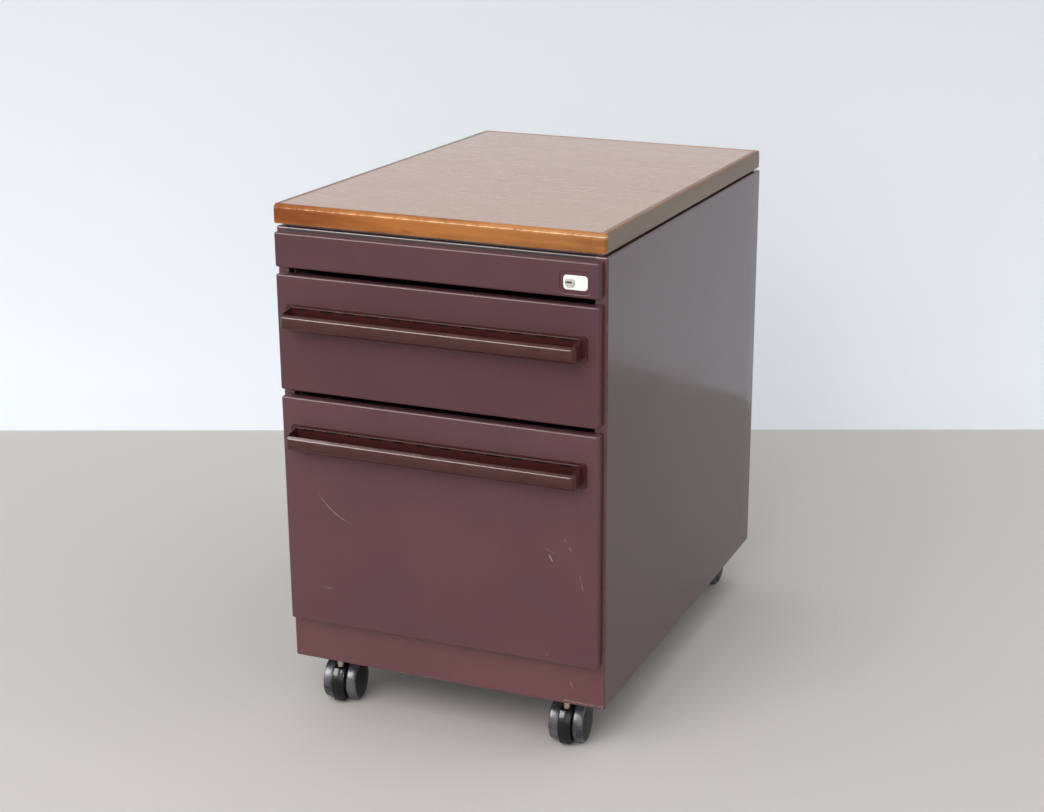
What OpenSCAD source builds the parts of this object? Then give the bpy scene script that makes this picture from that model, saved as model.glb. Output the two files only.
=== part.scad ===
// Mobile desk pedestal: a painted steel case on four twin-wheel casters, with a
// pencil drawer, a box drawer and a file drawer under a lipped wooden top board.
// X runs to the right, Y to the back and Z up. The origin lies on the floor under
// the middle of the whole piece. Every module works with the case front at y = 0.

/* [Case] */
// Width of the steel case
case_w = 400; // [370:1:460]
// Depth of the steel case
case_d = 563; // [545:1:650]
// Height of the case's underside above the floor
case_lift = 60; // [58:0.5:70]
// Thickness of the case sheet
case_sheet = 1.2; // [1:0.1:1.5]
// Outer radius of the case's bent edges
case_bend_r = 2.2; // [1.8:0.1:2.3]
// Width of the flanges turned in round the side panels
flange_w = 14; // [12:0.5:18]
// Depth of the lip turned back from each front flange
front_lip_d = 11; // [6:0.5:12]
// Height of the case that shows above the top drawer front
top_strip_h = 4; // [3:0.5:9]
// Height of the rail that joins the side panels above the drawers
rail_h = 8; // [6:0.5:10]
// Depth of the rail's top flange
rail_d = 30; // [20:1:40]
// Height of the plinth below the lowest drawer
plinth_h = 55.5; // [46:0.5:70]
// Height of the lips turned up round the base pan
base_lip_h = 12; // [8:1:16]
// Thickness of the top pan, which leaves a shadow gap under the board
top_pan_t = 3; // [1.5:0.25:4]
// Inset of the top pan from the case's edges
top_pan_inset = 7; // [5:0.5:10]

/* [Top board] */
// Overhang of the board past each side of the case
board_side = 0.5; // [0:0.5:30]
// Thickness of the top board
board_t = 22; // [17:0.5:30]
// Overhang of the board past the case front
board_front = 2; // [0:0.5:10]
// Overhang of the board past the case back
board_back = 5; // [0:0.5:15]
// How far the board sits to the left of the case's middle
board_shift = 2.5; // [0:0.5:4]
// Thickness of the solid lipping round the board
lipping_t = 7; // [5:0.5:12]
// Radius of the board's worn edges
board_edge_r = 4; // [1:0.25:4.5]
// Diameter of the board screws' shanks
screw_d = 4; // [3:0.25:5]
// Diameter of the board screws' heads
screw_head_d = 9; // [7:0.5:11]
// Thickness of the board screws' heads
screw_head_t = 2.6; // [1.5:0.1:3.5]
// Length of screw thread in the board
screw_bite = 14; // [8:0.5:15.5]
// Distance of the board screws from the case's middle line
screw_x = 130; // [90:1:150]
// Distance of the outer board screws from the case's front and back
screw_inset = 60; // [45:1:90]

/* [Drawer fronts] */
// Width of case edge left showing at each end of the drawer fronts
front_margin = 4.5; // [3:0.5:8]
// Gap between one drawer front and the next
front_gap = 8; // [4:0.5:10]
// How far the drawer fronts stand forward of the case
front_proud = 14; // [11:0.5:18]
// Running clearance between the back of a front and the case
front_clear = 1; // [0.5:0.1:2]
// Thickness of the drawer front sheet
front_sheet = 1; // [0.7:0.1:1.3]
// Radius of the drawer fronts' pressed edges
front_edge_r = 2.5; // [2:0.25:5]
// Width of the hem turned in behind each drawer front
front_hem = 14; // [12.5:0.5:16]
// Height of the pencil drawer front
pencil_front_h = 40; // [38:1:52]
// Height of the box drawer front
box_front_h = 136; // [125:1:170]
// Height of the file drawer front
file_front_h = 277.5; // [260:0.5:310]

/* [Drawer trays] */
// Thickness of the steel drawer trays
tray_sheet = 1; // [0.7:0.1:1.5]
// Distance from the backs of the steel drawer trays to the back of the case
tray_back_gap = 58; // [43:1:63]
// Height of each steel tray's bottom above the bottom of its front
tray_rise = 10; // [6:0.5:14]
// Drop from the top of the box drawer front to its tray's rim
box_tray_drop = 16; // [10:0.5:24]
// Drop from the top of the file drawer front to its tray's rim
file_tray_drop = 26; // [24:0.5:34]
// Inset of a tray's front plate from the edge of its drawer front
front_plate_inset = 4; // [3:0.5:6]
// Clearance between a tray's front plate and the case's front lips
front_plate_clear = 2; // [1:0.25:3]
// Height of the hanging file rails above the file tray's rim
file_rail_h = 12; // [8:0.5:14]
// Thickness of the hanging file rails
file_rail_t = 2; // [1.5:0.1:3]
// Width of the hanging file rails' feet and of the rim they stand on
file_rail_foot = 8; // [6:0.5:12]
// Depth of the pencil drawer's moulded tray
pencil_tray_d = 380; // [320:1:420]
// Height of the pencil drawer's moulded tray
pencil_tray_h = 28; // [22:0.5:30]
// Wall thickness of the moulded tray
pencil_tray_wall = 2.2; // [1.6:0.1:3]
// Depth of the front compartment of the moulded tray
pen_trough_d = 75; // [60:1:110]
// Width of the moulded tray's middle compartment
clip_bay_w = 110; // [80:1:140]
// Thickness of the ribs that carry the moulded tray
pencil_rib_t = 6; // [4:0.5:7]

/* [Slides] */
// Width taken by a slide at each side of a steel tray
slide_w = 12.7; // [12:0.1:15]
// Distance from the back ends of the slides to the back of the case
slide_back_gap = 57; // [52:1:67]
// Thickness of the slide steel
slide_sheet = 1.5; // [1.2:0.1:1.6]
// Clearance between parts that slide in each other
slide_clear = 0.3; // [0.3:0.05:0.5]
// Height of the box drawer's slides
box_slide_h = 35; // [30:1:45]
// Height of the file drawer's slides
file_slide_h = 45; // [35:1:55]
// Rise of the box drawer's slides above the bottom of its tray
box_slide_rise = 22; // [8:0.5:30]
// Rise of the file drawer's slides above the bottom of its tray
file_slide_rise = 60; // [20:1:90]
// Thickness of the pencil drawer's runner walls
runner_t = 2; // [1.5:0.1:2.5]
// Thickness of the slide frames' sheet
frame_sheet = 1.2; // [0.8:0.1:1.5]
// Depth along the case of each upright in the slide frames
upright_d = 60; // [45:1:80]

/* [Handles] */
// Length of the moulded handles
handle_l = 366; // [320:1:372]
// Height of the moulded handles
handle_h = 29; // [27:0.5:34]
// How far the handles stand out from the drawer fronts
handle_out = 26; // [24:0.5:34]
// Thickness of the handle walls
handle_wall = 3.5; // [2.5:0.25:4]
// Thickness of the flange round the handle
handle_flange_t = 2; // [1.5:0.25:3]
// Height of the flange that shows above and below the handle bar
handle_flange_h = 2.8; // [2:0.2:3.5]
// Width of the flange that shows beyond each end of the handle bar
handle_flange_w = 5; // [1.5:0.25:7]
// Drop from the top of the handle's flange to the lip of its trough
handle_lip_drop = 6; // [3:0.5:8]
// Radius of the handle bar's lower front edge
handle_nose_r = 8; // [5:0.5:9]
// Radius of the handle's corners, on the flange and at the ends of the bar
handle_corner_r = 4; // [1.5:0.25:5]
// Drop from the top of the box drawer front to its handle
box_handle_drop = 33; // [25:0.5:60]
// Drop from the top of the file drawer front to its handle
file_handle_drop = 32; // [25:0.5:80]
// Number of slots in the back wall of each handle
slot_count = 12; // [5:1:12]
// Spacing of the slots
slot_pitch = 29; // [20:0.5:29.5]
// Length of each slot
slot_l = 14; // [6:0.5:16]
// Height of each slot
slot_h = 2; // [1.5:0.25:2.5]
// Drop from the rim of the handle's back wall to the slots
slot_drop = 0.5; // [0.5:0.25:3]
// Depth of each slot
slot_depth = 1.5; // [1:0.25:2]
// Diameter of the studs that hold the handles to the fronts
stud_d = 6; // [4:0.5:8]
// Distance of the outer studs from the middle of the handle
stud_x = 150; // [110:1:155]

/* [Lock] */
// Distance of the lock barrel from the right side of the case
lock_inset = 37.5; // [36:0.5:42]
// Rise of the lock barrel above the bottom of the pencil drawer front
lock_rise = 16.5; // [16:0.5:20]
// Width of the white lock plate
lock_plate_w = 28; // [26:0.5:32]
// Height of the white lock plate
lock_plate_h = 16; // [15:0.5:18]
// Thickness of the white lock plate
lock_plate_t = 1.8; // [1:0.1:2]
// Distance from the barrel to the middle of the lock plate
lock_plate_offset = 6; // [4:0.5:7]
// Depth of the dish pressed in the front round the lock plate
dish_depth = 2; // [1.5:0.25:2.5]
// Width of dish left round the lock plate
dish_margin = 4.5; // [3:0.25:5]
// Diameter of the lock housing behind the front
housing_d = 16; // [15:0.5:17]
// Diameter of the lock housing's neck
neck_d = 12; // [11.5:0.1:12.5]
// Diameter of the lock barrel
barrel_d = 10; // [9:0.1:10.5]
// Radial running clearance of the lock barrel
barrel_clear = 0.05; // [0.02:0.01:0.08]
// Width of the cam on the back of the lock barrel
cam_w = 8; // [7:0.5:9]
// Thickness of the lock cam
cam_t = 3; // [2.5:0.1:3.2]
// Reach of the lock cam from the barrel's axis
cam_reach = 20; // [19:0.25:20.5]
// Travel of the lock bar as the lock turns a quarter
bar_lift = 8; // [6:0.5:8]
// Width of the lock bar
bar_w = 9; // [8:0.5:9.5]
// Thickness of the lock bar
bar_t = 2; // [1.5:0.1:2.2]
// Height of the arms on the lock bar
arm_h = 5; // [4:0.5:5.5]
// Height of the catches on the drawers that the arms hold
catch_h = 8; // [6:0.5:10]
// Drop from a steel tray's rim to its catch
catch_drop = 24; // [15:1:40]

/* [Casters] */
// Diameter of the caster wheels
wheel_d = 50; // [46:1:52]
// Width of each wheel's tread
tread_w = 12.5; // [10:0.5:14]
// How far the wheels' domed faces bulge past the tread
dome_h = 3.5; // [1.5:0.25:4]
// Radius of the tread's rounded edges
tread_r = 2.5; // [1:0.25:3]
// Depth of the hollow in each wheel's inner face
wheel_hollow = 8; // [5:0.5:8.5]
// Diameter of the wheels' hubs
hub_d = 14; // [12:0.5:18]
// Width of the caster hood between the wheels
hood_w = 15; // [14:0.5:18]
// Radius of the caster hood about the axle
hood_r = 29.5; // [28:0.25:30]
// Width of the ridge down the front of the hood
ridge_w = 2; // [1:0.25:4]
// Height of the ridge on the hood
ridge_h = 0.8; // [0.4:0.1:1.5]
// Radius of the hood's rounded toe near the floor
toe_r = 3.5; // [2.5:0.25:4]
// Height of the hood's shoulders round the stem above the floor
shoulder_z = 48.5; // [46:0.5:52]
// Running gap between the hood and each wheel
wheel_gap = 0.5; // [0.4:0.05:0.9]
// Distance from the stem back to the axle
caster_trail = 15; // [13:0.5:17]
// Diameter of the caster axles
axle_d = 6; // [5:0.25:7]
// Radial running clearance of wheels and hoods on their pins
pin_clear = 0.05; // [0.02:0.01:0.08]
// Diameter of the stem's lower pin in the hood
stem_pin_d = 8.5; // [7:0.25:9]
// Diameter of the stem's upper shank in the case
shank_d = 11; // [10:0.5:12]
// Length of the stem's shank in the case
shank_l = 24; // [18:0.5:25]
// Diameter of the collar on the stem
collar_d = 15; // [14:0.5:16]
// Thickness of the collar on the stem
collar_t = 2.5; // [1.5:0.1:3]
// Distance of the caster stems from the case's middle line
stem_x = 148; // [120:1:155]
// Angle by which the front left caster stands swivelled
front_left_turn = 8; // [-20:1:20]
// Angle by which the front right caster stands swivelled
front_right_turn = 5; // [-20:1:20]
// Distance of the front stems from the case front
front_stem_y = 15; // [14:0.5:24]
// Distance of the rear stems from the case back
rear_stem_inset = 47; // [40:0.5:60]
// Thickness of the caster channels' sheet
channel_sheet = 2; // [1.5:0.1:2.5]
// Height of the caster channels
channel_h = 26; // [25.5:0.5:30]
// Depth of the caster channels
channel_d = 44; // [38:1:50]
// Wall thickness of the sockets that hold the stems
socket_wall = 3; // [2:0.25:3.5]

/* [Hidden] */
$fn = 64;
CORNERS = ["front_left", "front_right", "rear_left", "rear_right"];
CASTER_PARTS = ["caster_hood", "caster_axle", "caster_left_wheel", "caster_right_wheel"];

STEEL = "silver";
PAINT = [0.36, 0.25, 0.26];
HANDLE_BROWN = [0.32, 0.17, 0.16];
CUT_AWAY = 1;                                   // how far a cutting shape runs past the cut
LEFT = -1;
RIGHT = 1;
CAM_GAP = 1.2;                                  // from the case's front lips back to the lock cam
BAR_GAP = 1.5;                                  // from the case's front lips back to the lock bar
FRAME_GAP = 0.5;                                // from the lock bar back to the slide frames
SLIDE_SET = 1;                                  // how far the slides start behind the frames' front
CATCH_GAP = 2.5;                                // from the lock bar back to the drawers' catches
CATCH_T = 2;                                    // thickness of the catches
END_GAP = 2;                                    // clearance at an end or side of an inner piece
RAIL_GAP = 3;                                   // from the front rail down to the moulded tray
RIB_DROP = 1;                                   // from the moulded tray's rim down to its ribs
NOTCH_BACK = 5;                                 // room in the moulded tray's notch behind the cam
NOTCH_SIDE = 6;                                 // room in that notch beside the lock housing
PLATE_CORNER_R = 4;                             // corner radius of the lock plate
KEY_W = 1.4;                                    // width of the keyway
KEY_L = 0.68;                                   // length of the keyway as a share of the barrel
KEY_DEPTH = 9;                                  // depth of the keyway
ARM_BITE = 6;                                   // how far the lock bar's arms reach under the cam
ARM_GAP = 1;                                    // from an arm of the lowered bar up to its catch
BAR_TAIL = 10;                                  // how far the lock bar runs below its lowest arm
LIP_BEVEL = 4;                                  // height of the bevel on the front of a handle's lip
STEM_FOOT_GAP = 4;                              // from the axle up to the stem's pin
AXLE_SET = 1;                                   // how far an axle ends inside the wheel's tread
FLOOR_GAP = 3;                                  // from the floor up to the hood's body
TOE_PROUD = 1;                                  // how far the hood's toe stands out of the hood
HOOD_DROP = 18;                                 // how far the hood reaches below the axle
DISC_SET = 1;                                   // step between a wheel's tread and its domed disc
TREAD_RIM = 5;                                  // width of the rim round the hollow in a wheel
HEAD_PROUD = 0.6;                               // how far the lock's head stands out of its plate

half_w = case_w / 2;
open_half = half_w - flange_w;                  // half the clear width between the side flanges
file_z = case_lift + plinth_h;
box_z = file_z + file_front_h + front_gap;
pencil_z = box_z + box_front_h + front_gap;
case_top = pencil_z + pencil_front_h + top_strip_h;
case_h = case_top - case_lift;
board_z = case_top + top_pan_t;

front_half = half_w - front_margin;
front_back_y = -front_clear;                    // back face of every drawer front
face_y = -front_proud;                          // front face of every drawer front
tray_half = open_half - slide_w;                // half the outside width of the trays
front_plate_half = open_half - front_plate_clear;
box_tray_z = box_z + tray_rise;
box_tray_top = box_z + box_front_h - box_tray_drop;
file_tray_z = file_z + tray_rise;
file_tray_top = file_z + file_front_h - file_tray_drop;

cam_front_y = front_lip_d + CAM_GAP;            // front face of the lock cam
bar_y = front_lip_d + BAR_GAP;                  // front face of the lock bar
upright_y = bar_y + bar_t + FRAME_GAP;          // front face of the slide frames
slide_y = upright_y + SLIDE_SET;
slide_l = case_d - slide_back_gap - slide_y;
tray_d = case_d - tray_back_gap;                // depth of the steel trays behind the case front
catch_y = bar_y + bar_t + CATCH_GAP;

rail_z = case_top - rail_h;                     // lower edge of the front rail
pencil_tray_top = rail_z - RAIL_GAP;
pencil_tray_z = pencil_tray_top - pencil_tray_h;
rib_z = pencil_tray_top - RIB_DROP - pencil_rib_t;
rib_half = open_half - runner_t - slide_clear;
lock_x = half_w - lock_inset;
lock_z = pencil_z + lock_rise;
dish_floor_y = face_y + dish_depth;
housing_y = dish_floor_y + front_sheet;         // the housing's shoulder seats behind the dish
notch_d = cam_front_y + cam_t + NOTCH_BACK;     // depth of the notch that the lock takes in the tray
notch_half = housing_d / 2 + NOTCH_SIDE;
rib_y = notch_d + 1;

axle_z = wheel_d / 2;
wheel_in = hood_w / 2 + wheel_gap;              // inner face of each wheel from the caster's middle
wheel_out = wheel_in + tread_w;
axle_half = wheel_out - AXLE_SET;
stem_foot_z = axle_z + axle_d / 2 + STEM_FOOT_GAP;
collar_z = case_lift - collar_t;
socket_d = shank_d + 2 * socket_wall;
rear_stem_y = case_d - rear_stem_inset;
pan_floor = case_lift + 2 * case_sheet;         // upper face of the base pan

handle_front_y = face_y - handle_out;
middle_y = (handle_front_y + case_d + board_back) / 2;

function stem_at(corner) = [
    (corner == "front_left" || corner == "rear_left") ? -stem_x : stem_x,
    (corner == "front_left" || corner == "front_right") ? front_stem_y : rear_stem_y];
function turn_of(corner) =
    corner == "front_left" ? front_left_turn : corner == "front_right" ? front_right_turn : 0;

// ---- shared shapes ----

module centred() {
    translate([0, -middle_y, 0]) children();
}

// A box between two corners
module span(lo, hi) {
    translate(lo) cube(hi - lo);
}

// A box between two corners, mirrored for the left side
module side_span(side, x0, x1, y0, y1, z0, z1) {
    mirror([side == LEFT ? 1 : 0, 0, 0]) span([x0, y0, z0], [x1, y1, z1]);
}

// A box whose twelve edges and eight corners are rounded alike
module rounded_block(lo, hi, r) {
    s = hi - lo;
    near_far = [for (k = [0:2]) [r, s[k] - r]];
    translate(lo) {
        translate([r, r, 0]) cube([s[0] - 2 * r, s[1] - 2 * r, s[2]]);
        translate([r, 0, r]) cube([s[0] - 2 * r, s[1], s[2] - 2 * r]);
        translate([0, r, r]) cube([s[0], s[1] - 2 * r, s[2] - 2 * r]);
        for (x = near_far[0], y = near_far[1]) translate([x, y, r]) cylinder(r = r, h = s[2] - 2 * r);
        for (x = near_far[0], z = near_far[2])
            translate([x, r, z]) rotate([-90, 0, 0]) cylinder(r = r, h = s[1] - 2 * r);
        for (y = near_far[1], z = near_far[2])
            translate([r, y, z]) rotate([0, 90, 0]) cylinder(r = r, h = s[0] - 2 * r);
        for (x = near_far[0], y = near_far[1], z = near_far[2]) translate([x, y, z]) sphere(r);
    }
}

// A flat outline with rounded corners, centred on the origin
module pill(w, h, r) {
    square([w - 2 * r, h], center = true);
    square([w, h - 2 * r], center = true);
    for (x = [r - w / 2, w / 2 - r], y = [r - h / 2, h / 2 - r]) translate([x, y]) circle(r);
}

// Lifts an X-Z outline into place: its front lies at y0 and its back at y1
module plate_xz(y0, y1) {
    translate([0, y1, 0]) rotate([90, 0, 0]) linear_extrude(y1 - y0) children();
}

// A round bar along Y
module bar_y_round(d, x, z, y0, y1) {
    translate([x, y0, z]) rotate([-90, 0, 0]) cylinder(d = d, h = y1 - y0);
}

// ---- case ----

// The space inside the case, inset from its outside on every face
module case_space(inset) {
    span([inset - half_w, inset, case_lift + inset], [half_w - inset, case_d - inset, case_top - inset]);
}

// The outer sheet of the case, with its bent edges
module outer_skin() {
    difference() {
        rounded_block([-half_w, 0, case_lift], [half_w, case_d, case_top], case_bend_r);
        case_space(case_sheet);
    }
}

// The second sheet, which lies against the inside of the first
module inner_skin() {
    difference() {
        case_space(case_sheet);
        case_space(2 * case_sheet);
    }
}

module side_panel(side) {
    color(PAINT) centred() {
        intersection() {
            outer_skin();
            side_span(side, open_half, half_w + CUT_AWAY, -CUT_AWAY, case_d + CUT_AWAY,
                      case_lift - CUT_AWAY, case_top + CUT_AWAY);
        }
        side_span(side, open_half, open_half + case_sheet, case_sheet, front_lip_d,
                  case_lift + case_sheet, case_top - case_sheet);
    }
}

module left_side_panel() {
    side_panel(LEFT);
}

module right_side_panel() {
    side_panel(RIGHT);
}

module back_panel() {
    color(PAINT) centred() intersection() {
        inner_skin();
        span([-half_w, case_d - flange_w, case_lift], [half_w, case_d, case_top]);
    }
}

module front_rail() {
    color(PAINT) centred() intersection() {
        outer_skin();
        span([-open_half, -CUT_AWAY, rail_z], [open_half, rail_d, case_top + CUT_AWAY]);
    }
}

module stem_holes(corners, d) {
    for (c = corners)
        translate([stem_at(c)[0], stem_at(c)[1], case_lift - CUT_AWAY])
            cylinder(d = d, h = 2 * (case_sheet + CUT_AWAY));
}

module plinth() {
    color(PAINT) centred() difference() {
        intersection() {
            outer_skin();
            span([-open_half, -CUT_AWAY, case_lift - CUT_AWAY], [open_half, flange_w, file_z]);
        }
        stem_holes(CORNERS, socket_d);
    }
}

module base_pan() {
    color(PAINT) centred() difference() {
        intersection() {
            inner_skin();
            span([-half_w, 0, case_lift], [half_w, case_d - flange_w, pan_floor + base_lip_h]);
        }
        stem_holes(CORNERS, socket_d);
        side_span(LEFT, open_half - case_sheet, open_half + 2 * case_sheet, 0, front_lip_d + case_sheet,
                  case_lift, case_top);
        side_span(RIGHT, open_half - case_sheet, open_half + 2 * case_sheet, 0, front_lip_d + case_sheet,
                  case_lift, case_top);
    }
}

module screw_places() {
    for (x = [-screw_x, screw_x], y = [screw_inset, case_d / 2, case_d - screw_inset])
        translate([x, y, 0]) children();
}

module top_pan() {
    color(PAINT) centred() difference() {
        span([top_pan_inset - half_w, top_pan_inset, case_top],
             [half_w - top_pan_inset, case_d - top_pan_inset, board_z]);
        screw_places() translate([0, 0, case_top - CUT_AWAY])
            cylinder(d = screw_d, h = top_pan_t + 2 * CUT_AWAY);
    }
}

// ---- top board ----

board_half = half_w + board_side;
board_lo = [-board_half - board_shift, -board_front, board_z];
board_hi = [board_half - board_shift, case_d + board_back, board_z + board_t];

module board_part(lo, hi) {
    centred() intersection() {
        rounded_block(board_lo, board_hi, board_edge_r);
        span(lo, hi);
    }
}

module board_core() {
    color([0.66, 0.42, 0.25]) difference() {
        board_part(board_lo + [lipping_t, lipping_t, 0], board_hi - [lipping_t, lipping_t, 0]);
        centred() screw_places() translate([0, 0, board_z - CUT_AWAY])
            cylinder(d = screw_d, h = screw_bite + CUT_AWAY);
    }
}

module front_lipping() {
    color([0.68, 0.44, 0.22])
        board_part(board_lo, [board_hi[0], board_lo[1] + lipping_t, board_hi[2]]);
}

module left_lipping() {
    color([0.6, 0.4, 0.24])
        board_part(board_lo + [0, lipping_t, 0],
                   [board_lo[0] + lipping_t, board_hi[1] - lipping_t, board_hi[2]]);
}

module right_lipping() {
    color([0.6, 0.4, 0.24])
        board_part([board_hi[0] - lipping_t, board_lo[1] + lipping_t, board_lo[2]],
                   board_hi - [0, lipping_t, 0]);
}

module rear_lipping() {
    color([0.6, 0.4, 0.24])
        board_part([board_lo[0], board_hi[1] - lipping_t, board_lo[2]], board_hi);
}

module board_screws() {
    color(STEEL) centred() screw_places() {
        translate([0, 0, case_top - screw_head_t]) cylinder(d = screw_head_d, h = screw_head_t);
        translate([0, 0, case_top - screw_head_t])
            cylinder(d = screw_d, h = screw_head_t + top_pan_t + screw_bite);
    }
}

// ---- slide frames, runners and slides ----

// Two hat-shaped uprights per side that hold the slides off the side panel
module slide_frame(side) {
    t = frame_sheet;
    foot_x = half_w - case_sheet;
    z0 = pan_floor + base_lip_h + END_GAP;
    z1 = case_top - 2 * case_sheet - END_GAP;
    rear_y = slide_y + slide_l - upright_d;
    color(STEEL) centred() {
        for (y = [upright_y, rear_y]) {
            side_span(side, open_half, foot_x, y, y + t, z0, z1);
            side_span(side, open_half, open_half + t, y, y + upright_d, z0, z1);
            side_span(side, open_half, foot_x, y + upright_d - t, y + upright_d, z0, z1);
        }
    }
}

module left_slide_frame() {
    slide_frame(LEFT);
}

module right_slide_frame() {
    slide_frame(RIGHT);
}

// A steel channel along Y, open towards the case's middle or towards its side
module slide_channel(side, web_x, web_dir, lip_x, half_h, z) {
    t = slide_sheet;
    color(STEEL) centred() {
        side_span(side, min(web_x, web_x + web_dir * t), max(web_x, web_x + web_dir * t),
                  slide_y, slide_y + slide_l, z - half_h, z + half_h);
        for (zz = [z - half_h, z + half_h - t])
            side_span(side, min(web_x, lip_x), max(web_x, lip_x), slide_y, slide_y + slide_l, zz, zz + t);
    }
}

inner_lip_box = open_half - slide_sheet - slide_clear;
inner_lip_file = inner_lip_box - slide_sheet - slide_clear;
slide_step = slide_sheet + slide_clear;
box_slide_z = box_tray_z + box_slide_rise + box_slide_h / 2;
file_slide_z = file_tray_z + file_slide_rise + file_slide_h / 2;

module outer_slide(side, h, z) {
    slide_channel(side, open_half, -1, tray_half + slide_clear, h / 2, z);
}

module middle_slide(side, h, z) {
    slide_channel(side, inner_lip_box, -1, tray_half + slide_step, h / 2 - slide_step, z);
}

module inner_slide(side, h, z, lip_x, steps) {
    slide_channel(side, tray_half, 1, lip_x, h / 2 - steps * slide_step, z);
}

module box_left_outer_slide() {
    outer_slide(LEFT, box_slide_h, box_slide_z);
}

module box_right_outer_slide() {
    outer_slide(RIGHT, box_slide_h, box_slide_z);
}

module box_left_inner_slide() {
    inner_slide(LEFT, box_slide_h, box_slide_z, inner_lip_box, 1);
}

module box_right_inner_slide() {
    inner_slide(RIGHT, box_slide_h, box_slide_z, inner_lip_box, 1);
}

module file_left_outer_slide() {
    outer_slide(LEFT, file_slide_h, file_slide_z);
}

module file_right_outer_slide() {
    outer_slide(RIGHT, file_slide_h, file_slide_z);
}

module file_left_middle_slide() {
    middle_slide(LEFT, file_slide_h, file_slide_z);
}

module file_right_middle_slide() {
    middle_slide(RIGHT, file_slide_h, file_slide_z);
}

module file_left_inner_slide() {
    inner_slide(LEFT, file_slide_h, file_slide_z, inner_lip_file, 2);
}

module file_right_inner_slide() {
    inner_slide(RIGHT, file_slide_h, file_slide_z, inner_lip_file, 2);
}

// A moulded guide on the slide frame that the pencil tray's rib runs in
module pencil_runner(side) {
    z0 = rib_z - slide_clear - runner_t;
    z1 = rib_z + pencil_rib_t + slide_clear + runner_t;
    y1 = slide_y + slide_l;
    color([0.15, 0.15, 0.15]) centred() {
        side_span(side, open_half - runner_t, open_half, slide_y, y1, z0, z1);
        side_span(side, tray_half + 1, open_half, slide_y, y1, z0, z0 + runner_t);
        side_span(side, tray_half + 1, open_half, slide_y, y1, z1 - runner_t, z1);
    }
}

module pencil_left_runner() {
    pencil_runner(LEFT);
}

module pencil_right_runner() {
    pencil_runner(RIGHT);
}

// ---- drawers ----

// A pressed sheet front: a shallow pan with rounded edges and a hem turned in behind
module front_pan(z0, h) {
    t = front_sheet;
    difference() {
        rounded_block([-front_half, face_y, z0], [front_half, 2 * front_edge_r, z0 + h], front_edge_r);
        rounded_block([t - front_half, face_y + t, z0 + t],
                      [front_half - t, 2 * front_edge_r, z0 + h - t], front_edge_r - t);
        span([-half_w, front_back_y, z0 - CUT_AWAY], [half_w, 3 * front_edge_r, z0 + h + CUT_AWAY]);
    }
    difference() {
        span([t / 2 - front_half, front_back_y - t, z0 + t / 2],
             [front_half - t / 2, front_back_y, z0 + h - t / 2]);
        span([front_hem - front_half, front_back_y - t - CUT_AWAY, z0 + front_hem],
             [front_half - front_hem, front_back_y + CUT_AWAY, z0 + h - front_hem]);
    }
}

module stud_places(top_z) {
    for (x = [-stud_x, -stud_x / 3, stud_x / 3, stud_x])
        translate([x, 0, top_z - handle_h / 2]) children();
}

module drawer_front(z0, h, handle_drop) {
    color(PAINT) centred() difference() {
        front_pan(z0, h);
        stud_places(z0 + h - handle_drop)
            bar_y_round(stud_d, 0, 0, face_y - CUT_AWAY, face_y + 2 * front_sheet);
    }
}

module box_front() {
    drawer_front(box_z, box_front_h, box_handle_drop);
}

module file_front() {
    drawer_front(file_z, file_front_h, file_handle_drop);
}

// A folded steel tray with a front plate against the drawer front's hem and a catch for the lock bar
module steel_tray(front_z, front_h, z0, z1, rim_w) {
    t = tray_sheet;
    color([0.42, 0.32, 0.32]) centred() {
        span([-front_plate_half, front_back_y, front_z + front_plate_inset],
             [front_plate_half, front_back_y + t, front_z + front_h - front_plate_inset]);
        difference() {
            span([-tray_half, front_back_y, z0], [tray_half, tray_d, z1]);
            span([t - tray_half, front_back_y + t, z0 + t], [tray_half - t, tray_d - t, z1 + CUT_AWAY]);
        }
        for (side = [LEFT, RIGHT])
            side_span(side, tray_half - rim_w, tray_half, front_back_y, tray_d, z1 - t, z1);
        span([tray_half - t, catch_y, z1 - catch_drop - catch_h],
             [open_half - END_GAP, catch_y + CATCH_T, z1 - catch_drop]);
    }
}

module box_tray() {
    steel_tray(box_z, box_front_h, box_tray_z, box_tray_top, 2 * tray_sheet);
}

module file_tray() {
    steel_tray(file_z, file_front_h, file_tray_z, file_tray_top, file_rail_foot);
}

// Two L-shaped bars that stand on the file tray's rims and carry hanging files
module hanging_file_rails() {
    color(STEEL) centred() for (side = [LEFT, RIGHT]) {
        side_span(side, tray_half - file_rail_foot, tray_half - file_rail_foot + file_rail_t,
                  rib_y, tray_d - tray_sheet, file_tray_top, file_tray_top + file_rail_h);
        side_span(side, tray_half - file_rail_foot, tray_half,
                  rib_y, tray_d - tray_sheet, file_tray_top, file_tray_top + file_rail_t);
    }
}

module pencil_front() {
    plate_x = lock_x + lock_plate_offset;
    dish_w = lock_plate_w + 2 * dish_margin;
    dish_h = lock_plate_h + 2 * dish_margin;
    dish_r = dish_margin + 2;
    t = front_sheet;
    color(PAINT) centred() difference() {
        union() {
            front_pan(pencil_z, pencil_front_h);
            translate([plate_x, 0, lock_z]) plate_xz(face_y + t / 2, dish_floor_y + t)
                pill(dish_w + 2 * t, dish_h + 2 * t, dish_r + t);
        }
        translate([plate_x, 0, lock_z]) plate_xz(face_y - CUT_AWAY, dish_floor_y)
            pill(dish_w, dish_h, dish_r);
        bar_y_round(neck_d, lock_x, lock_z, face_y, dish_floor_y + 2 * t);
        bar_y_round(housing_d + 2, lock_x, lock_z, front_back_y - 2 * t, front_back_y + CUT_AWAY);
    }
}

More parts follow.
